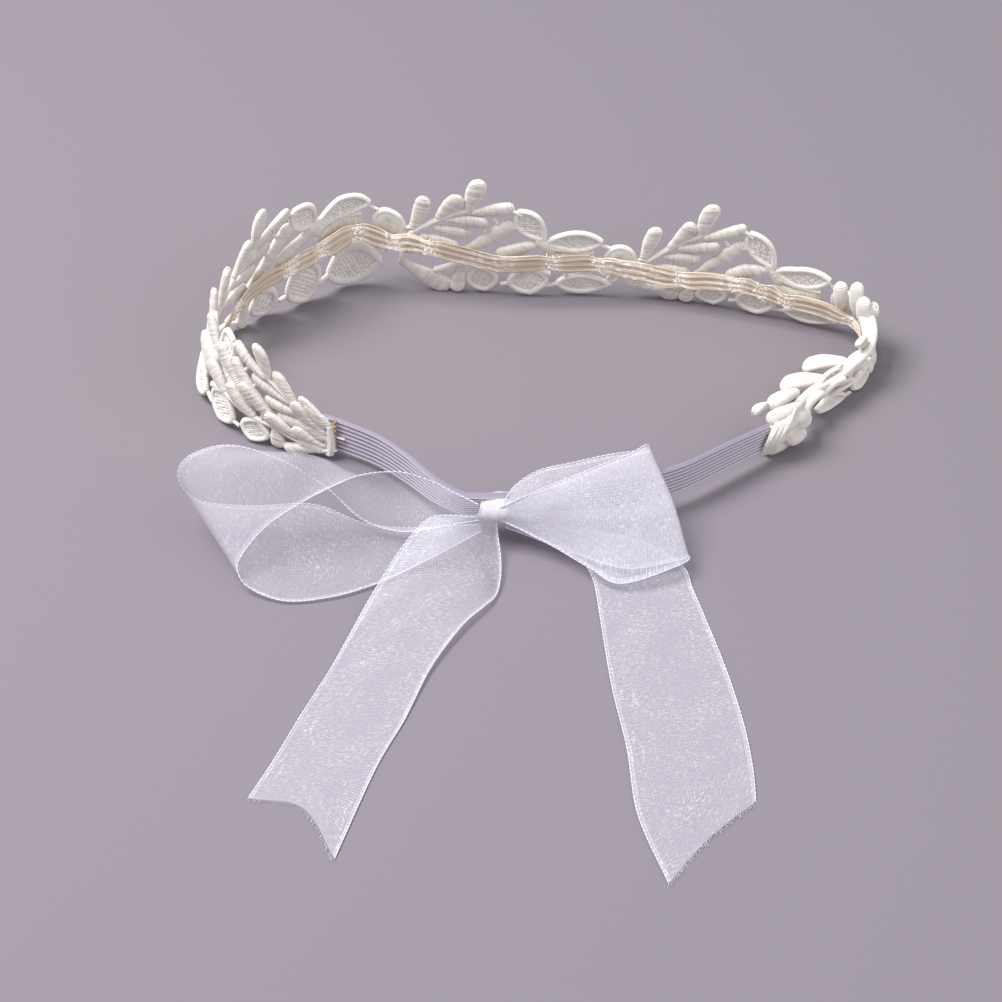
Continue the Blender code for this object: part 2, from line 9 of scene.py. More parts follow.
import bpy
import numpy as np
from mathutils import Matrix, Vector

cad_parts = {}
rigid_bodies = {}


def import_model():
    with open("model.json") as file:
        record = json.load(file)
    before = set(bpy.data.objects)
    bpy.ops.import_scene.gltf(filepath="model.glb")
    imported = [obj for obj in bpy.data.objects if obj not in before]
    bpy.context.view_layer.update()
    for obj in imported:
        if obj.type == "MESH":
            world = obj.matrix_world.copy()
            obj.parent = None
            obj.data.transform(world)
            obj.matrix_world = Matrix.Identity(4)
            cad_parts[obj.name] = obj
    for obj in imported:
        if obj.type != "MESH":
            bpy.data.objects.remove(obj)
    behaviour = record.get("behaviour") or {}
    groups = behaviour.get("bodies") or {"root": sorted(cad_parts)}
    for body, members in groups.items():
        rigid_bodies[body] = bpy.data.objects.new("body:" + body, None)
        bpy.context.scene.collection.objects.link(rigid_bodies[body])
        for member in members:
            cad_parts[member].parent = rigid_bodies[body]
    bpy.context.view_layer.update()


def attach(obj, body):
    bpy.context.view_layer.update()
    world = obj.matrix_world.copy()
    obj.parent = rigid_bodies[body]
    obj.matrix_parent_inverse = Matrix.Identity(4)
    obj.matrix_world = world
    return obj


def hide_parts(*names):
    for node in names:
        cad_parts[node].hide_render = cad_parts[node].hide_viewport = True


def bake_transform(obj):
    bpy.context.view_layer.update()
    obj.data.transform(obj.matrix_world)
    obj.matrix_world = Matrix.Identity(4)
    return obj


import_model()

MM = 0.001
# From the lace's datum to the middle of the footprint, which is the frame's origin.
FOOTPRINT_CENTRE = np.array((0.0, 2.1, 0.0))
# How far above the table the underside of each kind of piece stays.
LOWEST_LACE = 0.12
LOWEST_THREAD = 0.03
LOWEST_CLOTH = 0.22
RNG = np.random.default_rng(7)

# ---------------------------------------------------------------- the lace's ring and motif

# The foot of the lace, from its left end round the back to its right: (x, y, lean out in degrees).
RING_LINE = (
    (-48, 34, -8),
    (-60, 37.5, -8),
    (-72, 43, -10),
    (-80, 53, -12),
    (-83, 64, -14),
    (-80, 75, -12),
    (-72, 84, -8),
    (-60, 91, -4),
    (-45, 97.7, 0),
    (-25, 97.2, 0),
    (-5, 95.5, 0),
    (15, 95, 0),
    (33, 93.5, 0),
    (50, 89, 0),
    (65, 84, 2),
    (78.4, 77.6, 4),
    (80.6, 68, -4),
    (75, 57.5, -8),
    (67.4, 50, -8),
    (59.6, 39, 0),
)
END_RUN = 20.0  # the line runs straight on past both of its ends by this much
REPEATS = 5
REPEAT_LENGTH = 57.0
FIRST_SPRIG = 17.0

# How the lace stands on the table: (along, how far its upper part is raised, pushed out by), in
# millimetres. Below LOWER_PART the leaves stretch or fold to suit.
SETTLE = (
    (-20, 0.0, 0.0),
    (61, 0.0, 0.0),
    (75, 2.0, 0.0),
    (84, 5.0, 0.0),
    (92, 5.5, 0.5),
    (100, 6.8, 1.2),
    (106, 6.5, 1.2),
    (113, 4.2, 0.6),
    (118, 3.75, 0.0),
    (131, 1.7, 0.0),
    (144, 0.0, 0.0),
    (169, -3.75, 0.0),
    (178, -3.75, 0.0),
    (188, -3.0, 0.0),
    (200, -1.0, 0.0),
    (207, -3.0, 0.0),
    (213, -5.0, 0.0),
    (222, -5.5, 0.0),
    (236, 0.0, 0.0),
    (300, 0.0, 0.0),
)
LOWER_PART = 12.0
# The share of its height that the lace keeps: both ends are pressed low.
STANDING = (
    (-20, 0.42),
    (4, 0.46),
    (10, 0.66),
    (20, 0.82),
    (34, 1.0),
    (222, 1.0),
    (231, 0.66),
    (240, 0.42),
    (300, 0.42),
)
# The upper part of the motif as drawn slopes down from its sprig to its bud: (along, rise).
MOTIF_SLOPE = ((-13.0, 3.75), (38.0, -3.75))

# Satin-stitched leaves: (root along, root up, tip along, tip up, width, curl out).
SPRIG_LEAVES = (
    (-13.2, 19.0, -9.8, 28.8, 3.9, 0.5),
    (-7.0, 22.4, -0.8, 30.0, 4.1, -0.3),
    (0.6, 25.2, 3.9, 34.6, 4.6, 0.7),
    (1.4, 25.2, 12.2, 26.7, 3.7, 0.4),
    (-5.0, 22.6, 5.8, 22.2, 3.6, -0.4),
    (-8.2, 20.2, 1.4, 18.4, 3.5, 0.3),
    (-11.6, 17.2, -1.6, 14.0, 3.8, -0.2),
    (-1.8, 12.2, 12.4, 22.3, 4.4, 0.4),
)
PETAL_LEAVES = (
    (19.6, 17.2, 7.6, 12.6, 3.9, -0.3),
    (19.6, 12.2, 32.0, 11.2, 5.2, 0.2),
    (17.6, 17.8, 22.0, 13.0, 3.4, 0.2),
)
LOWER_LEAVES = (
    (-16.6, 10.4, -4.2, 0.5, 5.2, 0.3),
    (-1.2, 9.4, -2.4, 0.4, 3.7, -0.3),
)
# Petals with a stitched rim and a netted middle: the same row.
PETAL_NETS = (
    (20.0, 16.8, 12.4, 26.4, 7.2, 0.4),
    (18.6, 16.6, 34.6, 17.4, 6.6, -0.3),
)
LOWER_NETS = (
    (3.0, 9.8, 5.0, 0.4, 8.2, 0.3),
    (14.6, 9.8, 16.2, 0.4, 10.4, -0.3),
    (37.0, 4.6, 21.8, 3.6, 6.6, 0.4),
)
# Leaves that crumple over each other where the lace's first repeat is pressed down.
CRUMPLED_LEAVES = (
    (-9.0, 9.0, 1.0, 14.0, 4.6, 1.4),
    (-2.0, 12.0, 8.4, 18.4, 4.8, 1.6),
    (4.0, 9.6, 13.0, 14.0, 4.8, 1.2),
    (9.0, 15.6, 18.6, 20.6, 4.8, 1.5),
    (13.6, 8.6, 22.4, 12.6, 5.0, 1.3),
    (20.0, 15.2, 28.0, 21.8, 4.8, 1.6),
    (24.0, 8.4, 33.0, 12.0, 5.0, 1.2),
    (30.0, 14.0, 37.0, 22.6, 4.8, 1.2),
)
BUD = (38.2, 12.2, 3.9)  # (along, up, radius)
# Thread bars: (radius, then points (along, up)).
SPRIG_BARS = (
    (0.8, (-15.2, 14.2), (-13.0, 18.2), (-8.4, 21.4), (-3.2, 24.4), (1.0, 26.0)),
    (0.5, (-18.6, 18.0), (-15.4, 18.8), (-13.2, 19.6)),
    (0.6, (-13.6, 15.4), (-16.0, 10.6)),
    (0.5, (-3.8, 15.2), (-2.2, 12.6), (-1.6, 8.8)),
    (0.5, (2.0, 14.6), (2.4, 9.0)),
    (0.4, (3.8, 22.0), (5.0, 19.0)),
    (0.4, (6.6, 24.6), (8.0, 22.0)),
)
PETAL_BARS = (
    (0.5, (11.6, 26.2), (14.0, 24.8)),
    (0.5, (11.6, 21.4), (14.4, 20.4)),
    (0.8, (17.4, 17.8), (20.4, 15.4), (25.0, 14.4), (31.6, 13.6)),
    (0.5, (10.0, 13.0), (12.0, 9.0)),
    (0.5, (24.0, 11.0), (25.0, 6.2)),
)
BUD_BARS = (
    (0.5, (33.4, 16.0), (35.6, 15.2)),
    (0.5, (36.6, 8.8), (35.2, 6.2)),
    (0.5, (41.8, 10.6), (40.6, 8.0)),
)
LOWER_BARS = (
    (0.75, (-7.8, 7.2), (-4.4, 8.4), (-1.4, 9.4), (4.0, 9.4), (14.6, 9.2), (21.0, 6.8)),
    (0.5, (-5.4, 2.6), (-3.8, 3.4)),
    (0.5, (8.6, 3.2), (11.4, 3.6)),
    (0.5, (19.8, 3.0), (23.0, 3.8)),
    (0.5, (36.4, 5.6), (38.2, 7.2), (41.0, 9.4)),
)

# The lace folded over the elastic at the left end.
LEFT_END_LEAVES = (
    (2.0, 5.6, 10.0, 6.2, 8.0, 0.2),
    (2.2, 13.0, 9.6, 17.0, 9.0, -0.2),
    (2.0, 20.6, 9.0, 26.6, 7.6, 0.3),
    (2.6, 17.0, 11.4, 21.6, 6.4, 0.9),
    (2.4, 9.0, 11.2, 11.0, 6.0, 1.0),
)
LEFT_END_BAR = (1.0, (2.0, 3.6), (1.6, 12.0), (2.0, 22.4))

# Where the satin is stitched to the lace, and its height: (along, height).
SATIN_STOPS = (14, 30, 52, 66, 84, 93, 104, 113, 122, 152, 164, 184, 199, 205, 211, 229, 248)
SATIN_HEIGHTS = (
    (0, 9.5),
    (40, 9.5),
    (63, 11.0),
    (80, 12.0),
    (95, 12.0),
    (112, 12.2),
    (122, 12.8),
    (137, 10.8),
    (144, 12.0),
    (152, 14.0),
    (164, 14.6),
    (176, 13.4),
    (189, 12.4),
    (200, 10.8),
    (207, 12.0),
    (215, 13.4),
    (232, 12.6),
    (275, 10.5),
)

# The last repeat is folded low: leaves that lie inwards over the table or stand at the turn, each
# (root, tip, width, the way its face looks), and the thick rib along its upper edge.
LYING_LEAVES = (
    ((74.0, 60.6, 7.6), (63.4, 63.6, 3.4), 4.3, (0.1, -0.3, 1.0)),
    ((69.4, 54.0, 7.4), (57.6, 57.0, 3.2), 4.5, (0.0, -0.3, 1.0)),
    ((73.4, 79.6, 9.0), (73.0, 79.2, 17.2), 3.5, (-0.3, -0.9, 0.2)),
    ((77.6, 76.4, 9.0), (76.6, 76.0, 19.6), 3.5, (-0.5, -0.8, 0.2)),
    ((79.4, 73.6, 8.0), (78.2, 72.8, 17.6), 3.8, (-0.6, -0.7, 0.3)),
    ((79.0, 66.0, 8.6), (78.6, 74.6, 12.6), 4.0, (0.2, -0.5, 0.8)),
    ((73.0, 56.0, 7.0), (78.4, 63.4, 8.6), 4.5, (-0.5, 0.3, 0.8)),
    ((66.4, 49.6, 6.4), (72.8, 54.6, 8.0), 4.5, (-0.5, 0.3, 0.8)),
    ((61.6, 43.0, 6.0), (67.0, 49.4, 8.0), 4.5, (-0.5, 0.4, 0.8)),
)
# The knob at the right end, where the lace is folded over the elastic.
KNOB_LEAVES = (
    ((60.5, 41.5, 2.4), (52.4, 35.2, 2.2), 3.8, (0.4, -0.8, 0.5)),
    ((61.3, 41.7, 5.5), (51.9, 34.7, 5.0), 4.0, (0.3, -0.8, 0.5)),
    ((61.5, 41.0, 8.6), (52.8, 34.5, 7.9), 3.8, (0.3, -0.8, 0.6)),
    ((61.3, 41.5, 11.4), (52.9, 35.8, 10.9), 3.6, (0.3, -0.6, 0.7)),
    ((60.7, 43.1, 13.4), (53.1, 38.7, 13.2), 3.5, (0.1, -0.3, 0.9)),
    ((62.2, 40.7, 3.3), (57.6, 36.0, 4.6), 3.5, (0.7, -0.6, 0.3)),
    ((62.7, 43.6, 6.4), (59.3, 37.7, 10.1), 3.6, (0.8, -0.4, 0.5)),
    ((63.2, 45.2, 3.7), (60.5, 40.2, 6.4), 3.5, (0.8, -0.4, 0.4)),
    ((56.3, 41.9, 8.8), (49.6, 39.4, 10.5), 3.3, (-0.3, 0.4, 0.8)),
    ((55.1, 37.3, 1.7), (50.8, 37.2, 2.2), 3.2, (0.1, -0.2, 1.0)),
)
TOP_RIB = (
    (79.2, 74.6, 13.0),
    (80.0, 70.6, 12.6),
    (80.2, 66.8, 11.6),
    (78.8, 62.2, 10.2),
    (74.8, 57.7, 9.2),
    (70.3, 53.0, 9.0),
    (64.4, 48.8, 9.0),
    (60.2, 43.3, 9.0),
)

# ---------------------------------------------------------------- elastic and bow

# The elastic's line: (x, y, bottom, top, thickness).
ELASTIC = (
    (-51.0, 37.6, 1.5, 11.5, 0.9),
    (-46.6, 35.4, 1.5, 11.5, 0.9),
    (-38.0, 30.0, 1.8, 11.6, 0.9),
    (-31.0, 23.2, 2.6, 11.6, 1.1),
    (-25.0, 15.6, 4.4, 11.7, 1.5),
    (-19.0, 10.2, 6.0, 11.7, 1.9),
    (-15.0, 9.6, 6.2, 11.6, 1.9),
    (-9.0, 9.6, 6.2, 11.6, 1.9),
    (-5.0, 9.6, 6.2, 11.6, 1.9),
    (2.0, 11.2, 5.6, 11.8, 1.7),
    (11.0, 12.6, 4.6, 12.2, 1.3),
    (20.0, 14.6, 3.9, 12.2, 1.1),
    (32.0, 19.4, 3.9, 12.2, 0.9),
    (43.4, 27.4, 3.8, 11.8, 0.9),
    (53.2, 34.8, 3.4, 10.8, 0.9),
)

# Rows across the ribbon, each (edge, middle, edge), from the knot outwards.
LEFT_LOOP = (
    ((-14.4, 6.8, 11.0), (-14.4, 6.0, 9.4), (-14.4, 5.4, 7.6)),
    ((-20.4, 9.6, 12.4), (-20.2, 7.4, 10.0), (-20.0, 4.4, 7.2)),
    ((-26.0, 11.2, 14.6), (-26.4, 8.6, 10.4), (-26.4, 3.6, 6.4)),
    ((-33.0, 11.2, 17.2), (-33.6, 9.8, 11.2), (-33.0, 4.4, 5.0)),
    ((-41.5, 8.5, 18.6), (-42.0, 12.4, 14.0), (-41.4, 7.8, 5.6)),
    ((-49.1, 4.9, 17.6), (-49.6, 12.0, 20.6), (-50.0, 13.6, 10.6)),
    ((-56.0, 2.0, 15.2), (-57.5, 9.8, 24.0), (-60.0, 15.4, 17.0)),
    ((-62.5, -0.6, 11.6), (-67.0, 9.0, 22.6), (-71.0, 15.8, 21.2)),
    ((-67.4, -4.4, 7.6), (-74.5, 6.5, 17.6), (-80.2, 14.5, 19.4)),
    ((-69.2, -7.6, 5.0), (-77.0, 3.2, 11.4), (-83.4, 12.9, 14.6)),
    ((-66.6, -10.8, 2.0), (-73.5, 1.0, 5.4), (-79.4, 11.2, 8.6)),
    ((-58.0, -14.0, 0.8), (-62.0, -2.4, 2.6), (-67.0, 9.8, 7.8)),
    ((-47.0, -12.4, 0.8), (-49.0, -1.0, 2.0), (-52.6, 10.4, 7.8)),
    ((-37.0, -8.0, 0.8), (-38.5, 1.0, 1.8), (-40.5, 9.0, 3.0)),
    ((-27.0, -2.0, 1.6), (-28.0, 3.0, 2.4), (-29.0, 7.6, 3.0)),
    ((-14.0, 4.2, 5.2), (-14.0, 5.2, 5.4), (-14.0, 6.2, 5.6)),
)
RIGHT_LOOP = (
    ((-9.6, 5.2, 7.8), (-9.6, 5.4, 9.4), (-9.6, 6.2, 10.8)),
    ((-3.2, 2.6, 6.0), (-1.8, 4.6, 10.2), (-0.6, 9.4, 13.4)),
    ((3.3, -0.7, 4.4), (5.0, 5.0, 11.4), (6.9, 11.4, 15.6)),
    ((10.7, -6.0, 3.4), (13.0, 4.4, 11.6), (15.4, 14.3, 17.6)),
    ((17.9, -10.2, 2.6), (20.0, 3.6, 11.0), (20.4, 16.3, 18.4)),
    ((31.4, -5.8, 4.4), (28.6, 6.6, 12.0), (23.4, 18.4, 18.9)),
    ((33.2, -2.6, 3.9), (29.6, 8.0, 11.2), (24.6, 19.4, 17.4)),
    ((31.0, -3.0, 3.0), (28.0, 8.6, 9.9), (22.6, 19.2, 16.6)),
    ((20.0, -5.0, 2.2), (20.4, 7.0, 9.8), (15.0, 17.2, 17.0)),
    ((11.6, -2.6, 2.6), (11.6, 5.8, 10.4), (7.6, 15.2, 16.6)),
    ((2.0, 1.0, 4.2), (3.0, 6.4, 10.6), (-0.6, 14.2, 15.0)),
    ((-4.0, 3.6, 6.0), (-3.8, 6.4, 11.0), (-6.0, 11.7, 12.8)),
    ((-8.6, 5.2, 7.0), (-8.6, 5.8, 9.4), (-8.8, 7.6, 11.6)),
)
LEFT_TAIL = (
    ((-15.4, 4.4, 9.6), (-13.6, 4.0, 10.0), (-10.6, 5.4, 7.0)),
    ((-24.0, 3.6, 10.6), (-19.4, 2.0, 10.6), (-10.2, 3.6, 4.0)),
    ((-28.2, 0.0, 10.4), (-19.2, -2.8, 9.2), (-9.6, -1.0, 2.0)),
    ((-33.2, -6.2, 7.4), (-18.2, -6.6, 7.4), (-9.6, -6.4, 1.4)),
    ((-37.2, -12.2, 4.2), (-17.0, -9.6, 5.2), (-10.6, -12.0, 0.8)),
    ((-40.0, -17.4, 2.4), (-24.6, -15.6, 3.6), (-13.2, -16.2, 1.4)),
    ((-42.8, -23.6, 1.0), (-30.0, -22.6, 2.2), (-18.2, -22.6, 1.6)),
    ((-47.4, -35.4, 0.4), (-36.0, -35.2, 1.0), (-25.0, -35.0, 1.0)),
    ((-53.2, -49.0, 0.3), (-42.0, -50.0, 0.3), (-30.6, -50.4, 0.4)),
    ((-58.8, -63.0, 0.3), (-47.6, -64.0, 0.3), (-36.6, -65.0, 0.3)),
    ((-63.4, -73.2, 0.3), (-51.6, -76.0, 0.3), (-44.4, -90.2, 0.3)),
)
RIGHT_TAIL = (
    ((-8.6, 5.4, 5.4), (-8.4, 6.2, 5.6), (-8.2, 7.4, 5.8)),
    ((0.0, 4.0, 2.2), (3.0, 6.0, 2.4), (6.5, 8.6, 2.6)),
    ((8.4, -0.4, 0.8), (15.0, 1.6, 0.9), (23.0, 5.0, 1.2)),
    ((11.4, -6.4, 0.4), (21.6, -5.6, 0.4), (31.8, -2.6, 0.8)),
    ((12.4, -14.0, 0.4), (22.9, -12.8, 0.3), (33.9, -9.6, 0.5)),
    ((13.6, -27.0, 0.3), (24.8, -24.0, 0.3), (36.8, -20.6, 0.3)),
    ((15.2, -42.0, 0.3), (27.6, -39.0, 0.3), (40.6, -36.4, 0.3)),
    ((17.8, -59.0, 0.3), (30.6, -55.0, 0.3), (43.4, -52.0, 0.3)),
    ((19.6, -78.0, 0.3), (32.8, -72.0, 0.3), (44.6, -64.0, 0.3)),
    ((25.4, -97.0, 0.3), (33.6, -85.4, 0.3), (44.8, -74.1, 0.3)),
)
RIBBON_WIDTH = 25.0
SATIN_WIDTH = 6.0
SATIN_HALF = 2.65  # half the satin's visible width, a little less than its cut width
PINCH_REACH = 2.4  # how far from a stitch the satin is drawn in

# ---------------------------------------------------------------- thread, weave and stage

RIB_PITCH = 0.52  # from one stitched thread to the next
RIB_STEPS = 5
RIB_STEP = RIB_PITCH / RIB_STEPS
LEAF_SIDES = 16
NET_SPACING = 0.72
NET_RADIUS = 0.25
PETAL_RIM = 0.72
BUD_STITCHES = 44
ELASTIC_RIBS = 8
WARP_PITCH = 0.46
WEFT_PITCH = 0.42
HEM = 0.9

KNOT_CENTRE = (-11.4, 9.0, 8.5)
KNOT_HALF_LENGTH = 3.5

CAMERA_TARGET = (-0.0095, 0.0179, 0.0)
CAMERA_ELEVATION = 43.0
CAMERA_DISTANCE = 0.80
CAMERA_LENS = 123.3
FLOOR_SIZE = 6.0
FLOOR_COLOUR = (0.240, 0.212, 0.243, 1.0)
SKY_COLOUR = (0.96, 0.96, 1.0, 1.0)
SKY_STRENGTH = 0.42
# (name, place, energy, size)
LIGHTS = (
    ("key", (-0.50, 0.10, 0.95), 14.0, 0.55),
    ("fill", (0.75, -0.35, 0.8), 4.5, 1.0),
)

# ---------------------------------------------------------------- curves and grids


def to_world(points):
    return (np.asarray(points, float) - FOOTPRINT_CENTRE) * MM


def smooth_curve(points, count):
    """Catmull-Rom through the points, at count + 1 even parameters. Points are (n, ...) arrays."""
    p = np.asarray(points, float)
    p = np.concatenate([[2 * p[0] - p[1]], p, [2 * p[-1] - p[-2]]])
    t = np.linspace(0, len(p) - 3, count + 1)
    i = np.minimum(t.astype(int), len(p) - 4)
    f = (t - i).reshape((-1,) + (1,) * (p.ndim - 1))
    a, b, c, d = p[i], p[i + 1], p[i + 2], p[i + 3]
    return 0.5 * (2 * b + (c - a) * f + (2 * a - 5 * b + 4 * c - d) * f**2 + (3 * b - a - 3 * c + d) * f**3)


def running_length(path):
    """The length of the path up to each of its points."""
    return np.concatenate([[0], np.cumsum(np.linalg.norm(np.diff(path, axis=0), axis=1))])


def even(path, step):
    """The open path at even spacing of about step."""
    path = np.asarray(path, float)
    s = running_length(path)
    count = max(int(round(s[-1] / step)), 2)
    at = np.linspace(0, s[-1], count + 1)
    return np.stack([np.interp(at, s, path[:, k]) for k in range(path.shape[1])], axis=1)


def smoothstep(x):
    x = np.clip(x, 0, 1)
    return x * x * (3 - 2 * x)


def part_above(up):
    """0 at the lace's lower edge, and 1 from the top of its lower leaves upwards."""
    return smoothstep(up / LOWER_PART)


def look_up(rows, along, column=1):
    table = np.array(rows)
    return np.interp(along, table[:, 0], table[:, column])


def circle(sides):
    return 2 * np.pi * np.arange(sides) / sides


class Ring:
    """Bends flat (along, out, up) points onto the standing wall of lace."""

    def __init__(self, line):
        sample = smooth_curve(line, (len(line) - 1) * 12)
        s = running_length(sample[:, :2])
        head = sample[0] + (sample[0] - sample[2]) / s[2] * END_RUN
        tail = sample[-1] + (sample[-1] - sample[-3]) / (s[-1] - s[-3]) * END_RUN
        self.sample = np.concatenate([[head], sample, [tail]])
        self.s = np.concatenate([[-END_RUN], s, [s[-1] + END_RUN]])

    def at(self, along):
        return np.stack([np.interp(along, self.s, self.sample[:, k]) for k in range(3)], axis=-1)

    def place(self, points):
        along, out, up = (points[..., k] for k in range(3))
        up = up * look_up(STANDING, along) + look_up(SETTLE, along) * part_above(up)
        out = out + look_up(SETTLE, along, 2)
        here = self.at(along)
        forward = self.at(along + 1.5)[..., :2] - self.at(along - 1.5)[..., :2]
        forward /= np.linalg.norm(forward, axis=-1, keepdims=True)
        outward = np.stack([-forward[..., 1], forward[..., 0]], axis=-1)
        lean = np.radians(here[..., 2])
        flat_out = up * np.sin(lean) + out * np.cos(lean)
        z = up * np.cos(lean) - out * np.sin(lean)
        place = np.empty(points.shape)
        place[..., 0] = here[..., 0] + outward[..., 0] * flat_out
        place[..., 1] = here[..., 1] + outward[..., 1] * flat_out
        place[..., 2] = np.maximum(z, LOWEST_LACE)
        return place

    def motif(self, points, offset):
        """Places the points of a motif drawn round its sprig's centre at offset."""
        points = np.array(points)
        points[..., 2] -= look_up(MOTIF_SLOPE, points[..., 0] - offset) * part_above(points[..., 2])
        return self.place(points)


RING = Ring(RING_LINE)


class Shell:
    """Gathers grids of points into one mesh. The UV map holds millimetres of cloth, or thread_uv()."""

    def __init__(self):
        self.points = []
        self.faces = []
        self.uvs = []
        self.count = 0

    def grid(self, points, wrap=False, caps=False, uv=None):
        """Adds quads between the points. wrap closes each row, and caps close the first and last."""
        n, m = points.shape[:2]
        index = np.arange(n * m).reshape(n, m) + self.count
        ahead = np.roll(index, -1, axis=1)
        keep = slice(None) if wrap else slice(0, m - 1)
        quads = np.stack([index[:-1, keep], ahead[:-1, keep], ahead[1:, keep], index[1:, keep]], axis=-1)
        quads = quads.reshape(-1, 4).tolist()
        if caps:
            quads.append(index[0, ::-1].tolist())
            quads.append(index[-1].tolist())
        self.points.append(points.reshape(-1, 3))
        self.uvs.append(np.ones((n * m, 2)) if uv is None else uv.reshape(-1, 2))
        self.faces += quads
        self.count += n * m

    def build(self, name, material):
        mesh = bpy.data.meshes.new(name)
        mesh.from_pydata(to_world(np.concatenate(self.points)).tolist(), [], self.faces)
        layer = mesh.uv_layers.new(name="cloth")
        corner = np.empty(len(mesh.loops), np.int32)
        mesh.loops.foreach_get("vertex_index", corner)
        layer.data.foreach_set("uv", np.concatenate(self.uvs)[corner].astype(np.float32).ravel())
        mesh.materials.append(material)
        mesh.polygons.foreach_set("use_smooth", [True] * len(self.faces))
        mesh.update()
        obj = bpy.data.objects.new(name, mesh)
        bpy.context.scene.collection.objects.link(obj)
        return obj


# ---------------------------------------------------------------- stitches


def ridge(phase):
    """A row of round threads side by side: 1 on a thread's crest, 0 in the groove between."""
    return np.abs(np.sin(phase / 2)) ** 0.7


def thread_uv(relief):
    """The UVs of stitched thread: how far each point stands out of the grooves."""
    return np.stack([np.clip(relief, 0, 1), np.ones_like(relief)], axis=-1)


def round_end(distance, reach):
    """The share of the full width at a distance from a round end."""
    return np.sqrt(np.clip(1 - np.clip(1 - distance / reach, 0, 1) ** 2, 0, 1))


def padding(turn):
    """A padded leaf's section, from -1 at its back to 1 at its face: an oval with full sides."""
    return np.sign(np.sin(turn)) * np.abs(np.sin(turn)) ** 0.75


def leaflet(shell, row, offset, thick=2.0, waist=0.5):
    """A padded leaf of satin stitch: threads laid across it from edge to edge."""
    root = np.array((row[0] + offset, row[1]))
    tip = np.array((row[2] + offset, row[3]))
    width, curl = row[4:]
    length = np.linalg.norm(tip - root)
    ahead = (tip - root) / length
    aside = np.array((-ahead[1], ahead[0]))
    s = np.linspace(0, length, int(length / RIB_PITCH * RIB_STEPS) + 1)
    grow = waist + (1 - waist) * smoothstep(s / length / 0.7)
    near = round_end(s, min(0.5 * width * waist, 0.25 * length))
    far = round_end(length - s, min(0.5 * width, 0.45 * length))
    half = 0.5 * width * grow * near * far + 0.02
    deep = 0.5 * thick * (0.55 + 0.45 * grow) * (near * far) ** 0.7 + 0.02
    turn = circle(LEAF_SIDES)
    side = half[:, None] * np.cos(turn)
    rib = (s[:, None] + 0.22 * side) / RIB_PITCH
    jitter = RNG.uniform(0.6, 1.25, int(length / RIB_PITCH) + 12)
    strength = jitter[np.clip(rib.astype(int) + 4, 0, len(jitter) - 1)]
    relief = ridge(2 * np.pi * rib + RNG.uniform(0, 6)) * strength
    depth = (deep[:, None] - 0.18 + 0.24 * relief) * padding(turn)
    bend = RNG.uniform(-0.35, 0.35) * np.sin(np.pi * s / length)
    side = side * (0.97 + 0.05 * relief) + bend[:, None]
    points = np.empty((*side.shape, 3))
    points[..., 0] = root[0] + ahead[0] * s[:, None] + aside[0] * side
    points[..., 1] = depth + curl * (s[:, None] / length) ** 2
    points[..., 2] = root[1] + ahead[1] * s[:, None] + aside[1] * side
    shell.grid(RING.motif(points, offset), wrap=True, caps=True, uv=thread_uv(relief))


def free_leaf(shell, root, tip, width, face, thick):
    """A satin-stitched leaf placed freely in space, whose face looks along the face vector."""
    root, tip, face = (np.array(v, float) for v in (root, tip, face))
    length = np.linalg.norm(tip - root)
    ahead = (tip - root) / length
    aside = np.cross(face, ahead)
    aside /= np.linalg.norm(aside)
    face = np.cross(ahead, aside)
    s = np.linspace(0, length, int(length / RIB_PITCH * RIB_STEPS) + 1)
    grow = 0.6 + 0.4 * smoothstep(s / length / 0.7)
    near = round_end(s, 0.3 * width)
    far = round_end(length - s, 0.5 * width)
    half = 0.5 * width * grow * near * far + 0.02
    deep = 0.5 * thick * (near * far) ** 0.7 + 0.02
    turn = circle(LEAF_SIDES)
    side = half[:, None] * np.cos(turn)
    relief = ridge(2 * np.pi * (s[:, None] + 0.2 * side) / RIB_PITCH)
    side = side * (0.97 + 0.05 * relief)
    depth = (deep[:, None] - 0.2 + 0.26 * relief) * padding(turn)
    depth += 0.12 * length * np.sin(np.pi * s[:, None] / length)
    points = root + ahead * s[:, None, None] + aside * side[..., None] + face * depth[..., None]
    points[..., 2] = np.maximum(points[..., 2], LOWEST_LACE)
    shell.grid(points, wrap=True, caps=True, uv=thread_uv(relief))


def unit(vectors):
    return vectors / np.maximum(np.linalg.norm(vectors, axis=1, keepdims=True), 1e-9)


def sweep(path, ahead, face, radii):
    """Circles round the path's points. radii has a row for each point and a column for each side."""
    ahead = unit(ahead)
    aside = unit(np.cross(ahead, face))
    normal = np.cross(aside, ahead)
    turn = circle(radii.shape[1])[None, :, None]
    spokes = np.cos(turn) * aside[:, None] + np.sin(turn) * normal[:, None]
    return path[:, None] + radii[..., None] * spokes


def flat_tube(shell, path, radius, offset, closed=False, ribs=True, sides=8, step=RIB_STEP):
    """A thread along a nearly flat path of (along, out, up) points, wrapped in ribs or plain."""
    path = np.asarray(path, float)
    if closed:
        path = even(np.concatenate([path, path[:1]]), step)[:-1]
        ahead = np.roll(path, -1, axis=0) - np.roll(path, 1, axis=0)
    else:
        path = even(path, step)
        ahead = np.gradient(path, axis=0)
    radii = np.full((len(path), sides), float(radius))
    if ribs:
        s = np.arange(len(path)) * step
        radii *= 0.9 + 0.2 * ridge(2 * np.pi * s[:, None] / RIB_PITCH + circle(sides))
    points = sweep(path, ahead, (0.0, 1.0, 0.0), radii)
    if closed:
        points = np.concatenate([points, points[:1]])
    shell.grid(RING.motif(points, offset), wrap=True, caps=not closed)


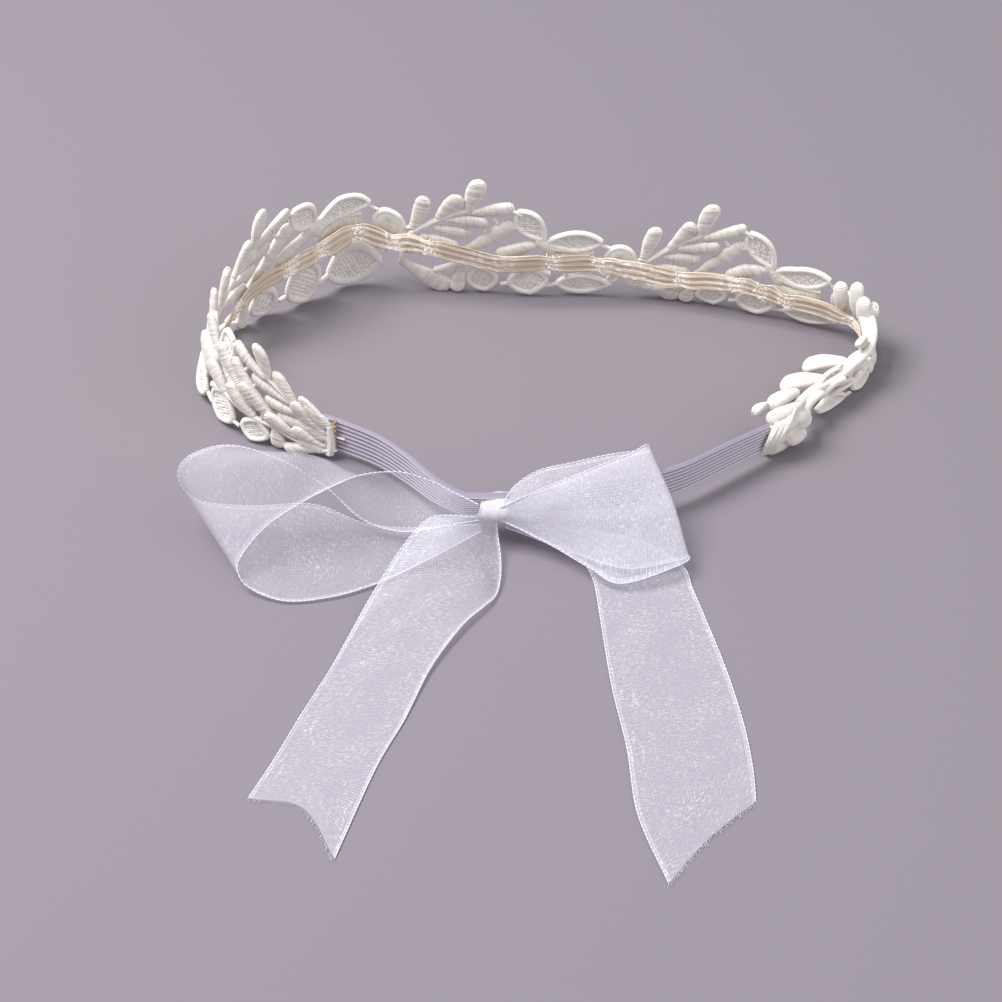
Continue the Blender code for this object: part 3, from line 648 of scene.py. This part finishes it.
def free_tube(shell, path, radius, sides=8, step=0.25, ribs=0.0):
    """A thread through free points. ribs is the share by which wrapped ribs stand proud."""
    path = even(path, step)
    s = np.arange(len(path)) * step
    radii = radius * (1 + ribs * (ridge(2 * np.pi * s[:, None] / RIB_PITCH + circle(sides)) - 0.5))
    points = sweep(path, np.gradient(path, axis=0), (0.13, 0.21, 0.97), radii)
    points[..., 2] = np.maximum(points[..., 2], LOWEST_THREAD)
    shell.grid(points, wrap=True, caps=True)


def bar(shell, row, offset):
    radius, *points = row
    path = smooth_curve([(along + offset, 0.0, up) for along, up in points], 10 * (len(points) - 1))
    flat_tube(shell, path, radius, offset)


def petal_half(t, width):
    """Half the petal's width at t, from its root at 0 to its tip at 1."""
    return 0.5 * width * np.sin(np.pi * np.clip(t, 0, 1) ** 1.2) ** 0.62


def net_petal(shell, row, offset):
    """A petal with a wrapped rim and a net of crossed threads inside it."""
    root = np.array((row[0] + offset, row[1]))
    tip = np.array((row[2] + offset, row[3]))
    width, curl = row[4:]
    length = np.linalg.norm(tip - root)
    ahead = (tip - root) / length
    aside = np.array((-ahead[1], ahead[0]))
    inner = length - 2 * PETAL_RIM

    def on_petal(x, y):
        return np.stack([
            root[0] + ahead[0] * x + aside[0] * y,
            curl * (x / length) ** 2,
            root[1] + ahead[1] * x + aside[1] * y,
        ], axis=-1)

    t = (1 - np.cos(np.pi * np.linspace(0, 1, 60))) / 2
    x = PETAL_RIM + t * inner
    y = np.maximum(petal_half(t, width) - PETAL_RIM, 0)
    outline = np.concatenate([on_petal(x, y), on_petal(x[::-1], -y[::-1])[1:-1]])
    flat_tube(shell, outline, PETAL_RIM, offset, closed=True)
    reach = length + width
    run = np.arange(-reach, reach, 0.3)
    for slope in (0.9, -0.9):
        direction = np.array((math.cos(slope), math.sin(slope)))
        cross = np.array((-direction[1], direction[0]))
        for shift in np.arange(-reach, reach, NET_SPACING):
            spot = direction * run[:, None] + cross * (shift + RNG.uniform(-0.08, 0.08))
            share = (spot[:, 0] - PETAL_RIM) / inner
            inside = (share > 0) & (share < 1)
            inside &= np.abs(spot[:, 1]) < petal_half(share, width) - 0.6 * PETAL_RIM
            found = np.flatnonzero(inside)
            if len(found) < 4:
                continue
            part = slice(found[0], found[-1] + 1)
            line = on_petal(*spot[part].T)
            line[:, 1] += 0.16 * np.sin(2 * np.pi * run[part] / (2 * NET_SPACING) + (slope > 0) * 3.1)
            flat_tube(shell, line, NET_RADIUS, offset, ribs=False, sides=6, step=0.3)


def bud(shell, offset):
    """A round padded bud: stitches fan out from its middle to a wrapped rim."""
    along, up, radius = BUD
    turn = circle(4 * BUD_STITCHES)
    relief = ridge(turn * BUD_STITCHES)
    share = np.concatenate([np.linspace(0.03, 1, 12), np.linspace(1, 0.03, 12)[1:]])[:, None]
    face = np.concatenate([np.ones(12), -np.ones(11)])[:, None]
    r = share * (radius - 0.3) * np.ones(len(turn))
    body = 0.95 * np.sqrt(np.clip(1 - (share * 0.96) ** 3, 0, 1))
    points = np.empty((*r.shape, 3))
    points[..., 0] = along + offset + r * np.cos(turn)
    points[..., 1] = face * (body - 0.14 + 0.16 * relief * np.minimum(share * 2, 1))
    points[..., 2] = up + r * np.sin(turn)
    uv = thread_uv(relief * np.ones_like(share))
    shell.grid(RING.motif(points, offset), wrap=True, caps=True, uv=uv)
    rim = turn[::4]
    flat_tube(shell, np.stack([
        along + offset + (radius - 0.55) * np.cos(rim),
        0 * rim,
        up + (radius - 0.55) * np.sin(rim),
    ], axis=1), PETAL_RIM, offset, closed=True)


# ---------------------------------------------------------------- materials


def new_material(name):
    material = bpy.data.materials.new(name)
    material.use_nodes = True
    tree = material.node_tree
    return material, tree, tree.nodes["Principled BSDF"]


def node(tree, kind, **inputs):
    made = tree.nodes.new(kind)
    for name, value in inputs.items():
        if hasattr(value, "is_output"):
            tree.links.new(value, made.inputs[name])
        else:
            made.inputs[name].default_value = value
    return made


def noise(tree, coords, scale, detail, stretch=None):
    if stretch:
        coords = node(tree, "ShaderNodeMapping", Vector=coords, Scale=(*stretch, 1.0)).outputs["Vector"]
    return node(tree, "ShaderNodeTexNoise", Vector=coords, Scale=scale, Detail=detail).outputs["Fac"]


def ramp(tree, value, stops):
    """A colour ramp. Each stop is (place, colour), or (place, grey level)."""
    made = node(tree, "ShaderNodeValToRGB", Fac=value)
    band = made.color_ramp
    while len(band.elements) < len(stops):
        band.elements.new(0.5)
    for element, (place, colour) in zip(band.elements, stops):
        element.position = place
        element.color = (*np.broadcast_to(colour, 3).tolist(), 1.0)
    return made.outputs["Color"]


def maths(tree, operation, a, b=0.0):
    made = tree.nodes.new("ShaderNodeMath")
    made.operation = operation
    for socket, value in zip(made.inputs, (a, b)):
        if hasattr(value, "is_output"):
            tree.links.new(value, socket)
        else:
            socket.default_value = value
    return made.outputs["Value"]


def blend_colours(tree, factor, first, second, kind="MIX"):
    made = tree.nodes.new("ShaderNodeMix")
    made.data_type = "RGBA"
    made.blend_type = kind
    for key, value in (("Factor", factor), (6, first), (7, second)):
        if hasattr(value, "is_output"):
            tree.links.new(value, made.inputs[key])
        else:
            made.inputs[key].default_value = value
    return made.outputs[2]


def bump(tree, shader, height, strength, distance):
    made = node(tree, "ShaderNodeBump", Height=height, Strength=strength, Distance=distance)
    tree.links.new(made.outputs["Normal"], shader.inputs["Normal"])


def coords_of(tree, kind):
    return tree.nodes.new("ShaderNodeTexCoord").outputs[kind]


def split(tree, vector):
    return node(tree, "ShaderNodeSeparateXYZ", Vector=vector).outputs


def cotton(name, light, dark, rough=0.92):
    """Matte embroidery cotton: fuzzy thread, with shade painted into the grooves between its stitches."""
    material, tree, shader = new_material(name)
    place = coords_of(tree, "Object")
    colour = ramp(tree, noise(tree, place, 300.0, 3.0), ((0.34, dark), (0.62, light)))
    fuzz = noise(tree, place, 3600.0, 4.0)
    proud = maths(tree, "ADD", split(tree, coords_of(tree, "UV"))["X"], maths(tree, "MULTIPLY", fuzz, 0.4))
    # Painted shade: the colour is darkened where the thread lies low in the grooves between stitches.
    groove = ramp(tree, proud, ((0.30, (0.68, 0.62, 0.56)), (0.95, 1.0)))
    tree.links.new(blend_colours(tree, 1.0, colour, groove, "MULTIPLY"), shader.inputs["Base Color"])
    shader.inputs["Roughness"].default_value = rough
    shader.inputs["Sheen Weight"].default_value = 0.2
    shader.inputs["Sheen Roughness"].default_value = 0.6
    bump(tree, shader, fuzz, 0.8, 0.00016)
    return material


def satin():
    """Champagne satin: long glossy threads with painted sheen streaks, and painted glints near its stitches
    and in random patches, which also glow a little.
    """
    material, tree, shader = new_material("champagne_satin")
    uv = coords_of(tree, "UV")
    sheen_streak = noise(tree, uv, 1.0, 3.0, (3.0, 0.08))
    glint_noise = noise(tree, uv, 1.0, 2.0, (3.6, 1.5))
    lines = noise(tree, uv, 1.0, 1.0, (4.2, 0.5))
    patch = noise(tree, uv, 1.0, 0.0, (0.03, 0.055))
    # Painted sheen: the colour runs from brown to near white in lengthwise streaks, standing in for the
    # gloss of the long threads.
    colour = ramp(tree, sheen_streak, (
        (0.32, (0.56, 0.42, 0.29)),
        (0.48, (0.78, 0.63, 0.48)),
        (0.66, (0.95, 0.85, 0.72)),
    ))
    along = split(tree, uv)["Y"]
    near = 0.0
    for stop in SATIN_STOPS:
        away = maths(tree, "ABSOLUTE", maths(tree, "SUBTRACT", along, stop + 0.6))
        close = maths(tree, "MAXIMUM", maths(tree, "SUBTRACT", 1.0, maths(tree, "MULTIPLY", away, 0.34)))
        near = maths(tree, "MAXIMUM", near, close)
    # Painted glints near each stitch, and painted shine in random patches of fine lines.
    painted_glint = maths(tree, "MULTIPLY", ramp(tree, glint_noise, ((0.50, 0.0), (0.56, 1.0))), near)
    shine = maths(
        tree, "MULTIPLY",
        ramp(tree, lines, ((0.55, 0.0), (0.62, 1.0))),
        ramp(tree, patch, ((0.50, 0.0), (0.60, 0.9))),
    )
    bright = maths(tree, "MINIMUM", maths(tree, "ADD", maths(tree, "MULTIPLY", painted_glint, 1.6), shine), 1.0)
    base = blend_colours(tree, bright, colour, (1.0, 0.97, 0.94, 1.0))
    tree.links.new(base, shader.inputs["Base Color"])
    # The painted glints and shine also glow, through emission.
    tree.links.new(bright, shader.inputs["Emission Strength"])
    shader.inputs["Emission Color"].default_value = (0.25, 0.23, 0.21, 1.0)
    tree.links.new(ramp(tree, sheen_streak, ((0.3, 0.42), (0.7, 0.26))), shader.inputs["Roughness"])
    shader.inputs["Specular IOR Level"].default_value = 0.7
    bump(tree, shader, sheen_streak, 0.7, 0.00025)
    return material


def elastic_knit():
    """Ribbed elastic: covered rubber cords, white on their crests and darker lilac in the grooves, the
    darkening being painted shade.
    """
    material, tree, shader = new_material("ribbed_elastic")
    uv = coords_of(tree, "UV")
    knit = noise(tree, uv, 1.0, 2.0, (2.0, 2.6))
    crest = maths(tree, "PINGPONG", maths(tree, "FRACT", split(tree, uv)["X"]), 0.5)
    crest = maths(tree, "ADD", crest, maths(tree, "MULTIPLY", maths(tree, "SUBTRACT", knit, 0.5), 0.18))
    # Painted shade: the colour darkens from the crests down into the grooves between the cords.
    colour = ramp(tree, crest, (
        (0.04, (0.30, 0.26, 0.34)),
        (0.22, (0.50, 0.45, 0.56)),
        (0.36, (0.66, 0.61, 0.72)),
        (0.45, (0.95, 0.93, 1.0)),
    ))
    tree.links.new(colour, shader.inputs["Base Color"])
    shader.inputs["Roughness"].default_value = 0.6
    shader.inputs["Sheen Weight"].default_value = 0.15
    bump(tree, shader, knit, 0.5, 0.00012)
    return material


def organza(name, cover, gleam, tint=(0.75, 0.72, 0.83)):
    """Sheer organza: a fine open weave, whose crosswise threads carry painted glitter in random lit
    patches.

    cover is how much of it is thread, and gleam how much more its painted bright patches hide."""
    material, tree, shader = new_material(name)
    uv = coords_of(tree, "UV")
    place = split(tree, uv)
    across = maths(tree, "SINE", maths(tree, "MULTIPLY", place["X"], 2 * math.pi / WARP_PITCH))
    down = maths(tree, "SINE", maths(tree, "MULTIPLY", place["Y"], 2 * math.pi / WEFT_PITCH))
    weave = maths(tree, "MULTIPLY", maths(tree, "ADD", across, down), 0.25)
    dash = noise(tree, uv, 1.0, 2.0, (0.8, 3.8))
    warp = noise(tree, uv, 1.0, 1.0, (3.0, 0.5))
    patch = noise(tree, uv, 1.0, 2.0, (0.10, 0.11))
    # Painted highlight: random lit patches in which the crosswise dashes and the warp lines are made
    # brighter and more opaque.
    lit = ramp(tree, patch, ((0.36, 0.22), (0.70, 0.8)))
    painted_glitter = maths(
        tree, "ADD",
        maths(tree, "MULTIPLY", ramp(tree, dash, ((0.50, 0.0), (0.70, 0.9))), lit),
        maths(tree, "MULTIPLY", ramp(tree, warp, ((0.58, 0.0), (0.70, 0.5))), lit),
    )
    edge = maths(tree, "ABSOLUTE", maths(tree, "SUBTRACT", place["X"], RIBBON_WIDTH / 2))
    hem = maths(tree, "GREATER_THAN", edge, RIBBON_WIDTH / 2 - HEM)
    alpha = maths(tree, "ADD", maths(tree, "MULTIPLY", weave, 0.26), cover)
    alpha = maths(tree, "ADD", alpha, maths(tree, "MULTIPLY", painted_glitter, gleam))
    alpha = maths(tree, "ADD", alpha, maths(tree, "MULTIPLY", hem, 0.13))
    alpha = maths(tree, "MINIMUM", maths(tree, "MAXIMUM", alpha, 0.04), 0.96)
    tree.links.new(alpha, shader.inputs["Alpha"])
    # The painted glitter, together with the denser hem, whitens the colour.
    bright = maths(tree, "MINIMUM", maths(tree, "ADD", painted_glitter, maths(tree, "MULTIPLY", hem, 0.15)), 1.0)
    base = blend_colours(tree, bright, (*tint, 1.0), (1.0, 0.99, 1.0, 1.0))
    tree.links.new(base, shader.inputs["Base Color"])
    shader.inputs["Roughness"].default_value = 0.42
    shader.inputs["Specular IOR Level"].default_value = 0.5
    shader.inputs["Sheen Weight"].default_value = 0.15
    shader.inputs["Sheen Roughness"].default_value = 0.4
    bump(tree, shader, maths(tree, "ADD", weave, dash), 0.4, 0.0001)
    return material


LACE = cotton("ivory_cotton", (0.97, 0.935, 0.885), (0.89, 0.845, 0.785))
GOLD_THREAD = cotton("gold_thread", (0.56, 0.38, 0.18), (0.36, 0.22, 0.10), 0.6)
GREY_THREAD = cotton("grey_thread", (0.40, 0.40, 0.48), (0.26, 0.26, 0.34), 0.7)
SATIN = satin()
ELASTIC_KNIT = elastic_knit()
ORGANZA = organza("sheer_organza", 0.26, 0.36)
# A brighter copy of the organza for the tails and the right loop, with more cover and more gleam painted in
# for their sheen.
ORGANZA_TAIL = organza("gleaming_organza", 0.36, 0.46)
ORGANZA_KNOT = organza("gathered_organza", 0.74, 0.24, (0.78, 0.76, 0.85))
SELVEDGE = cotton("selvedge_thread", (0.86, 0.85, 0.95), (0.72, 0.71, 0.82), 0.45)
SATIN_THREAD = cotton("champagne_thread", (1.0, 0.95, 0.90), (0.90, 0.80, 0.70), 0.35)

# ---------------------------------------------------------------- lace


def finish_piece(obj, body, slot, *replaced):
    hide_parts(*replaced)
    if body:
        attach(obj, body)
    return obj


def make_repeat(number):
    """One repeat of the lace: its sprig, petals, lower leaves and bud. The last one is cut short."""
    offset = FIRST_SPRIG + (number - 1) * REPEAT_LENGTH
    last = number == REPEATS

    shell = Shell()
    for row in SPRIG_LEAVES[:3] + SPRIG_LEAVES[6:] if last else SPRIG_LEAVES:
        leaflet(shell, row, offset)
    if number == 1:
        for row in CRUMPLED_LEAVES:
            leaflet(shell, row, offset)
    if last:
        for root, tip, width, face in LYING_LEAVES:
            free_leaf(shell, root, tip, width, face, 2.4)
        free_tube(shell, smooth_curve(TOP_RIB, 60), 1.0, ribs=0.14)
    for row in SPRIG_BARS:
        if offset + row[1][0] > -2:
            bar(shell, row, offset)
    finish_piece(shell.build(f"sprig_{number}", LACE), "ring", "lace", f"lace_sprig_{number}")

    shell = Shell()
    for row in PETAL_LEAVES[:1] if last else PETAL_LEAVES:
        leaflet(shell, row, offset)
    for row in PETAL_NETS[:1] if last else PETAL_NETS:
        net_petal(shell, row, offset)
    for row in PETAL_BARS[:2] if last else PETAL_BARS:
        bar(shell, row, offset)
    finish_piece(shell.build(f"petals_{number}", LACE), "ring", "lace", f"lace_petals_{number}")

    shell = Shell()
    for row in LOWER_LEAVES:
        leaflet(shell, row, offset)
    for row in LOWER_NETS[:2] if last else LOWER_NETS:
        net_petal(shell, row, offset)
    for row in LOWER_BARS[:3] if last else LOWER_BARS:
        bar(shell, row, offset)
    obj = shell.build(f"lower_leaves_{number}", LACE)
    finish_piece(obj, "ring", "lace", f"lace_lower_leaves_{number}")

    if not last:
        shell = Shell()
        bud(shell, offset)
        for row in BUD_BARS:
            bar(shell, row, offset)
        finish_piece(shell.build(f"bud_{number}", LACE), "ring", "lace", f"lace_bud_{number}")


def make_lace_ends():
    """Both ends of the lace, folded over the elastic, and the threads that sew them down."""
    shell = Shell()
    for row in LEFT_END_LEAVES:
        leaflet(shell, row, 0.0)
    bar(shell, LEFT_END_BAR, 0.0)
    finish_piece(shell.build("left_lace_end", LACE), "ring", "lace", "lace_end_left")

    shell = Shell()
    for root, tip, width, face in KNOB_LEAVES:
        free_leaf(shell, root, tip, width, face, 2.6)
    for k in range(9):
        across = 3.2 * (k / 8 - 0.5)
        free_tube(shell, smooth_curve((
            (53.4 + across, 34.0 + 0.3 * across, 2.4),
            (54.4 + across, 33.0 + 0.3 * across, 6.6 + 0.4 * (k % 3)),
            (56.4 + across, 35.0 + 0.2 * across, 10.6),
            (58.0 + across, 38.4, 12.6 - 0.3 * (k % 2)),
        ), 24), 0.42, ribs=0.3)
    finish_piece(shell.build("right_lace_knob", LACE), "ring", "lace", "lace_end_right")

    shell = Shell()
    for k in range(3):
        lift = 0.3 * k
        free_tube(shell, smooth_curve((
            (51.2, 37.6 + lift, 11.0),
            (52.8, 38.4 + lift, 13.2),
            (55.2, 39.8 + lift, 14.8 - 0.4 * lift),
            (57.6, 40.8 + lift, 14.4),
        ), 24), 0.2, ribs=0.4)
    obj = shell.build("grey_wrapped_thread", GREY_THREAD)
    finish_piece(obj, "ring", "grey_thread", "join_thread_right")

    shell = Shell()
    for k in range(7):
        low = 2.0 + 1.4 * k
        stitch = ((-48.6, 35.6, low), (-48.2, 34.6, low + 0.7), (-48.6, 35.5, low + 1.3))
        free_tube(shell, stitch, 0.26, ribs=0.3)
    obj = shell.build("gold_join_stitches", GOLD_THREAD)
    finish_piece(obj, "ring", "gold_thread", "join_thread_left")


# ---------------------------------------------------------------- satin and elastic


def closed_strip(faces):
    """One loop of points round a strip's two faces."""
    return np.concatenate([faces[0], faces[1][:, ::-1]], axis=1)


def make_satin():
    """The 6 mm satin ribbon, gathered a little where each stitch holds it to the lace."""
    along = np.linspace(2.0, 270.0, 900)
    across = np.linspace(-1, 1, 21)
    pinch = np.zeros_like(along)
    for stop in SATIN_STOPS:
        pinch = np.maximum(pinch, np.exp(-((along - stop) / PINCH_REACH) ** 2))
    half = SATIN_HALF - 0.6 * pinch
    height = look_up(SATIN_HEIGHTS, along)
    height = np.convolve(np.pad(height, 12, "edge"), np.ones(25) / 25, "valid")
    height += 0.35 * np.sin(along / 5.1) + 0.2 * np.sin(along / 2.3)
    belly = 0.6 * np.sin(along / 7.0) * (1 - pinch)
    pleat = 0.16 * np.sin(across[None, :] * 9.0 + 0.7 * np.sin(along / 4.0)[:, None])
    twist = 0.25 * np.sin(along / 13.0)
    faces = []
    for side in (0.16, -0.16):
        points = np.empty((len(along), len(across), 3))
        points[..., 0] = along[:, None]
        points[..., 1] = -2.1 - belly[:, None] - 0.5 + pleat + twist[:, None] * across + side
        points[..., 2] = height[:, None] + half[:, None] * across
        faces.append(points)
    uv = np.empty((len(along), 2 * len(across), 2))
    uv[..., 0] = np.concatenate([across, across[::-1]]) * SATIN_WIDTH / 2
    uv[..., 1] = along[:, None]
    shell = Shell()
    shell.grid(RING.place(closed_strip(faces)), wrap=True, caps=True, uv=uv)
    finish_piece(shell.build("satin_strip", SATIN), "ring", "satin", "satin_ribbon")


def make_satin_stitches(number):
    """The short threads that hold the satin to one repeat of the lace."""
    shell = Shell()
    start = FIRST_SPRIG + (number - 1) * REPEAT_LENGTH
    for stop in [s for s in SATIN_STOPS if start - 20 <= s < start + 37]:
        for _ in range(5):
            along = stop + RNG.uniform(-1.6, 1.6)
            rise = look_up(SATIN_HEIGHTS, stop) + RNG.uniform(-2.2, 2.2)
            reach = RNG.uniform(0.3, 0.6)
            slant = RNG.uniform(-0.8, 0.8)
            flat = np.array((
                (along - slant, -2.6, rise - reach),
                (along, -3.45, rise),
                (along + slant, -2.6, rise + reach),
            ))
            free_tube(shell, RING.place(smooth_curve(flat, 8)), 0.12, sides=6)
    obj = shell.build(f"satin_stitches_{number}", SATIN_THREAD)
    finish_piece(obj, "ring", "gold_thread", f"satin_stitch_{number}")


def make_elastic():
    """The 10 mm elastic: eight covered cords side by side, bunched where the bow grips it."""
    rows = smooth_curve(ELASTIC, 420)
    ahead = unit(np.gradient(rows[:, :2], axis=0))
    share = np.linspace(0, 1, ELASTIC_RIBS * 8 + 1)
    relief = np.abs(np.sin(np.pi * share * ELASTIC_RIBS)) ** 0.6
    faces = []
    for sign in (1, -1):
        depth = sign * (rows[:, 4:5] / 2 - 0.22 + 0.3 * relief)
        points = np.empty((*depth.shape, 3))
        points[..., 0] = rows[:, 0:1] - ahead[:, 1:2] * depth
        points[..., 1] = rows[:, 1:2] + ahead[:, 0:1] * depth
        points[..., 2] = rows[:, 2:3] + (rows[:, 3:4] - rows[:, 2:3]) * share
        faces.append(points)
    run = running_length(rows[:, :2])
    uv = np.empty((len(rows), 2 * len(share), 2))
    uv[..., 0] = np.concatenate([share, share[::-1]]) * ELASTIC_RIBS
    uv[..., 1] = run[:, None]
    shell = Shell()
    shell.grid(closed_strip(faces), wrap=True, caps=True, uv=uv)
    obj = shell.build("ribbed_elastic_strip", ELASTIC_KNIT)
    finish_piece(obj, "ring", "elastic", "elastic_band")


# ---------------------------------------------------------------- the organza bow


def ribbon_surface(rows, seed, steps=12, columns=36, ripple=0.3):
    """A smooth cloth surface through the rows, with its UVs in millimetres of cloth."""
    rows = np.asarray(rows, float)
    along = smooth_curve(rows, (len(rows) - 1) * steps)
    points = np.stack([smooth_curve(line, columns) for line in along])
    run = running_length(points[:, columns // 2])
    share = np.linspace(0, 1, columns + 1)
    uv = np.empty((*points.shape[:2], 2))
    uv[..., 0] = share * RIBBON_WIDTH
    uv[..., 1] = run[:, None]
    wave = np.sin(run[:, None] / 5.3 + 2.0 * share + seed) * np.sin(run[:, None] / 11.0 + 5.0 * share)
    points[..., 2] += ripple * wave * np.sin(np.pi * share)
    points[..., 2] = np.maximum(points[..., 2], LOWEST_CLOTH)
    return points, uv


def selvedge(points, shell):
    """The woven edge of the ribbon: a thin cord with a row of small loops of thread."""
    free_tube(shell, points, 0.11, sides=6, step=0.4)
    path = even(points, 0.1)
    for start in range(4, len(path) - 10, 12):
        piece = path[start:start + 7].copy()
        piece[:, 2] += 0.08
        free_tube(shell, piece, 0.17, sides=6, step=0.15)


def fray(points, ahead, shell, reach=1.4, spacing=0.5):
    """Loose threads standing out of a cut end."""
    for spot in even(points, spacing):
        out = ahead * RNG.uniform(0.2, reach) + RNG.uniform(-0.25, 0.25, 3)
        end = spot + out
        end[2] = max(spot[2] + RNG.uniform(-0.05, 0.3), 0.1)
        free_tube(shell, np.array((spot, (spot + end) / 2 + (0, 0, 0.1), end)), 0.05, sides=5, step=0.3)


def bow_piece(name, rows, material, start, end, replaced, seed, cut_way=None):
    """One loop or tail. start and end are turned into world points but not used.

    cut_way is the way its frayed end points, where it has one."""
    points, uv = ribbon_surface(rows, seed)
    shell = Shell()
    shell.grid(points, uv=uv)
    obj = shell.build(name, material)
    edges = Shell()
    selvedge(points[:, 0], edges)
    selvedge(points[:, -1], edges)
    if cut_way:
        fray(points[-1], np.array(cut_way), edges)
    trim = edges.build(f"{name}_selvedge", SELVEDGE)
    finish_piece(obj, None, "organza", *replaced)
    start, end = (tuple(to_world(point).tolist()) for point in (start, end))
    for piece in (obj, trim):
        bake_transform(piece)


def make_bow():
    bow_piece(
        "organza_left_loop", LEFT_LOOP, ORGANZA,
        (-15.0, 5, 9), (-26.0, 6, 9), ["left_loop"], seed=0.0,
    )
    bow_piece(
        "organza_right_loop", RIGHT_LOOP, ORGANZA_TAIL,
        (-9.0, 5, 9), (2.0, 5, 9), ["right_loop"], seed=1.0,
    )
    bow_piece(
        "organza_left_tail", LEFT_TAIL, ORGANZA_TAIL,
        (-27, -12, 4), (-29, -21, 4), ["left_tail", "left_tail_fold"], seed=2.0,
        cut_way=(-0.45, -0.9, 0.0),
    )
    bow_piece(
        "organza_right_tail", RIGHT_TAIL, ORGANZA_TAIL,
        (23, -9, 1), (22.4, -17, 1), ["right_tail", "right_tail_root"], seed=3.0,
        cut_way=(0.25, -0.9, 0.0),
    )


def make_knot():
    """The knot: the ribbon gathered into a soft pleated band round the elastic."""
    turn = circle(96)[:, None]
    span = np.linspace(-1, 1, 33)[None, :]
    pleats = 0.07 * np.sin(span * 9 + 0.8 * np.sin(turn * 2))
    crown = np.sqrt(np.clip(1 - (span * 0.97) ** 2, 0, 1)) ** 0.8
    flare = 1 + 0.14 * span
    points = np.empty((*pleats.shape, 3))
    points[..., 0] = KNOT_CENTRE[0] + KNOT_HALF_LENGTH * span + 0.8 * np.cos(turn)
    points[..., 1] = KNOT_CENTRE[1] - ((2.6 + 1.5 * crown) * flare + pleats) * np.sin(turn)
    points[..., 2] = KNOT_CENTRE[2] + ((1.9 + 0.8 * crown) * flare + 0.6 * pleats) * np.cos(turn)
    uv = np.empty((*pleats.shape, 2))
    uv[..., 0] = (span + 1) * RIBBON_WIDTH / 2
    uv[..., 1] = turn * 4
    shell = Shell()
    shell.grid(np.concatenate([points, points[:1]]), uv=np.concatenate([uv, uv[:1] + (0, 25)]))
    finish_piece(shell.build("organza_knot", ORGANZA_KNOT), "bow", "organza", "bow_knot")


# ---------------------------------------------------------------- floor, lights, camera


def make_stage():
    mesh = bpy.data.meshes.new("floor")
    corners = [(x * FLOOR_SIZE, y * FLOOR_SIZE, 0) for x, y in ((-1, -1), (1, -1), (1, 1), (-1, 1))]
    mesh.from_pydata(corners, [], [(0, 1, 2, 3)])
    floor = bpy.data.objects.new("floor", mesh)
    bpy.context.scene.collection.objects.link(floor)
    material, _, shader = new_material("floor")
    shader.inputs["Base Color"].default_value = FLOOR_COLOUR
    shader.inputs["Roughness"].default_value = 0.95
    mesh.materials.append(material)
    bpy.context.scene.view_settings.view_transform = "Standard"
    for name, place, energy, size in LIGHTS:
        data = bpy.data.lights.new(name, "AREA")
        data.energy = energy
        data.size = size
        light = bpy.data.objects.new(name, data)
        light.location = place
        light.rotation_euler = (-Vector(place)).to_track_quat("-Z", "Y").to_euler()
        bpy.context.scene.collection.objects.link(light)
    world = bpy.data.worlds.new("studio")
    world.use_nodes = True
    sky = world.node_tree.nodes["Background"]
    sky.inputs["Color"].default_value = SKY_COLOUR
    sky.inputs["Strength"].default_value = SKY_STRENGTH
    bpy.context.scene.world = world


def make_camera():
    elevation = math.radians(CAMERA_ELEVATION)
    back = Vector((0, -math.cos(elevation), math.sin(elevation)))
    data = bpy.data.cameras.new("camera")
    data.sensor_width = 36.0
    data.lens = CAMERA_LENS
    data.clip_end = 20.0
    camera = bpy.data.objects.new("camera", data)
    camera.location = Vector(CAMERA_TARGET) + back * CAMERA_DISTANCE
    camera.rotation_euler = (-back).to_track_quat("-Z", "Y").to_euler()
    bpy.context.scene.collection.objects.link(camera)
    bpy.context.scene.camera = camera


for leftover in [o for o in bpy.data.objects if o.name in ("Cube", "Light", "Camera")]:
    bpy.data.objects.remove(leftover, do_unlink=True)
make_camera()
make_stage()
for repeat in range(1, REPEATS + 1):
    make_repeat(repeat)
make_lace_ends()
make_satin()
for repeat in range(1, REPEATS + 1):
    make_satin_stitches(repeat)
make_elastic()
make_bow()
make_knot()
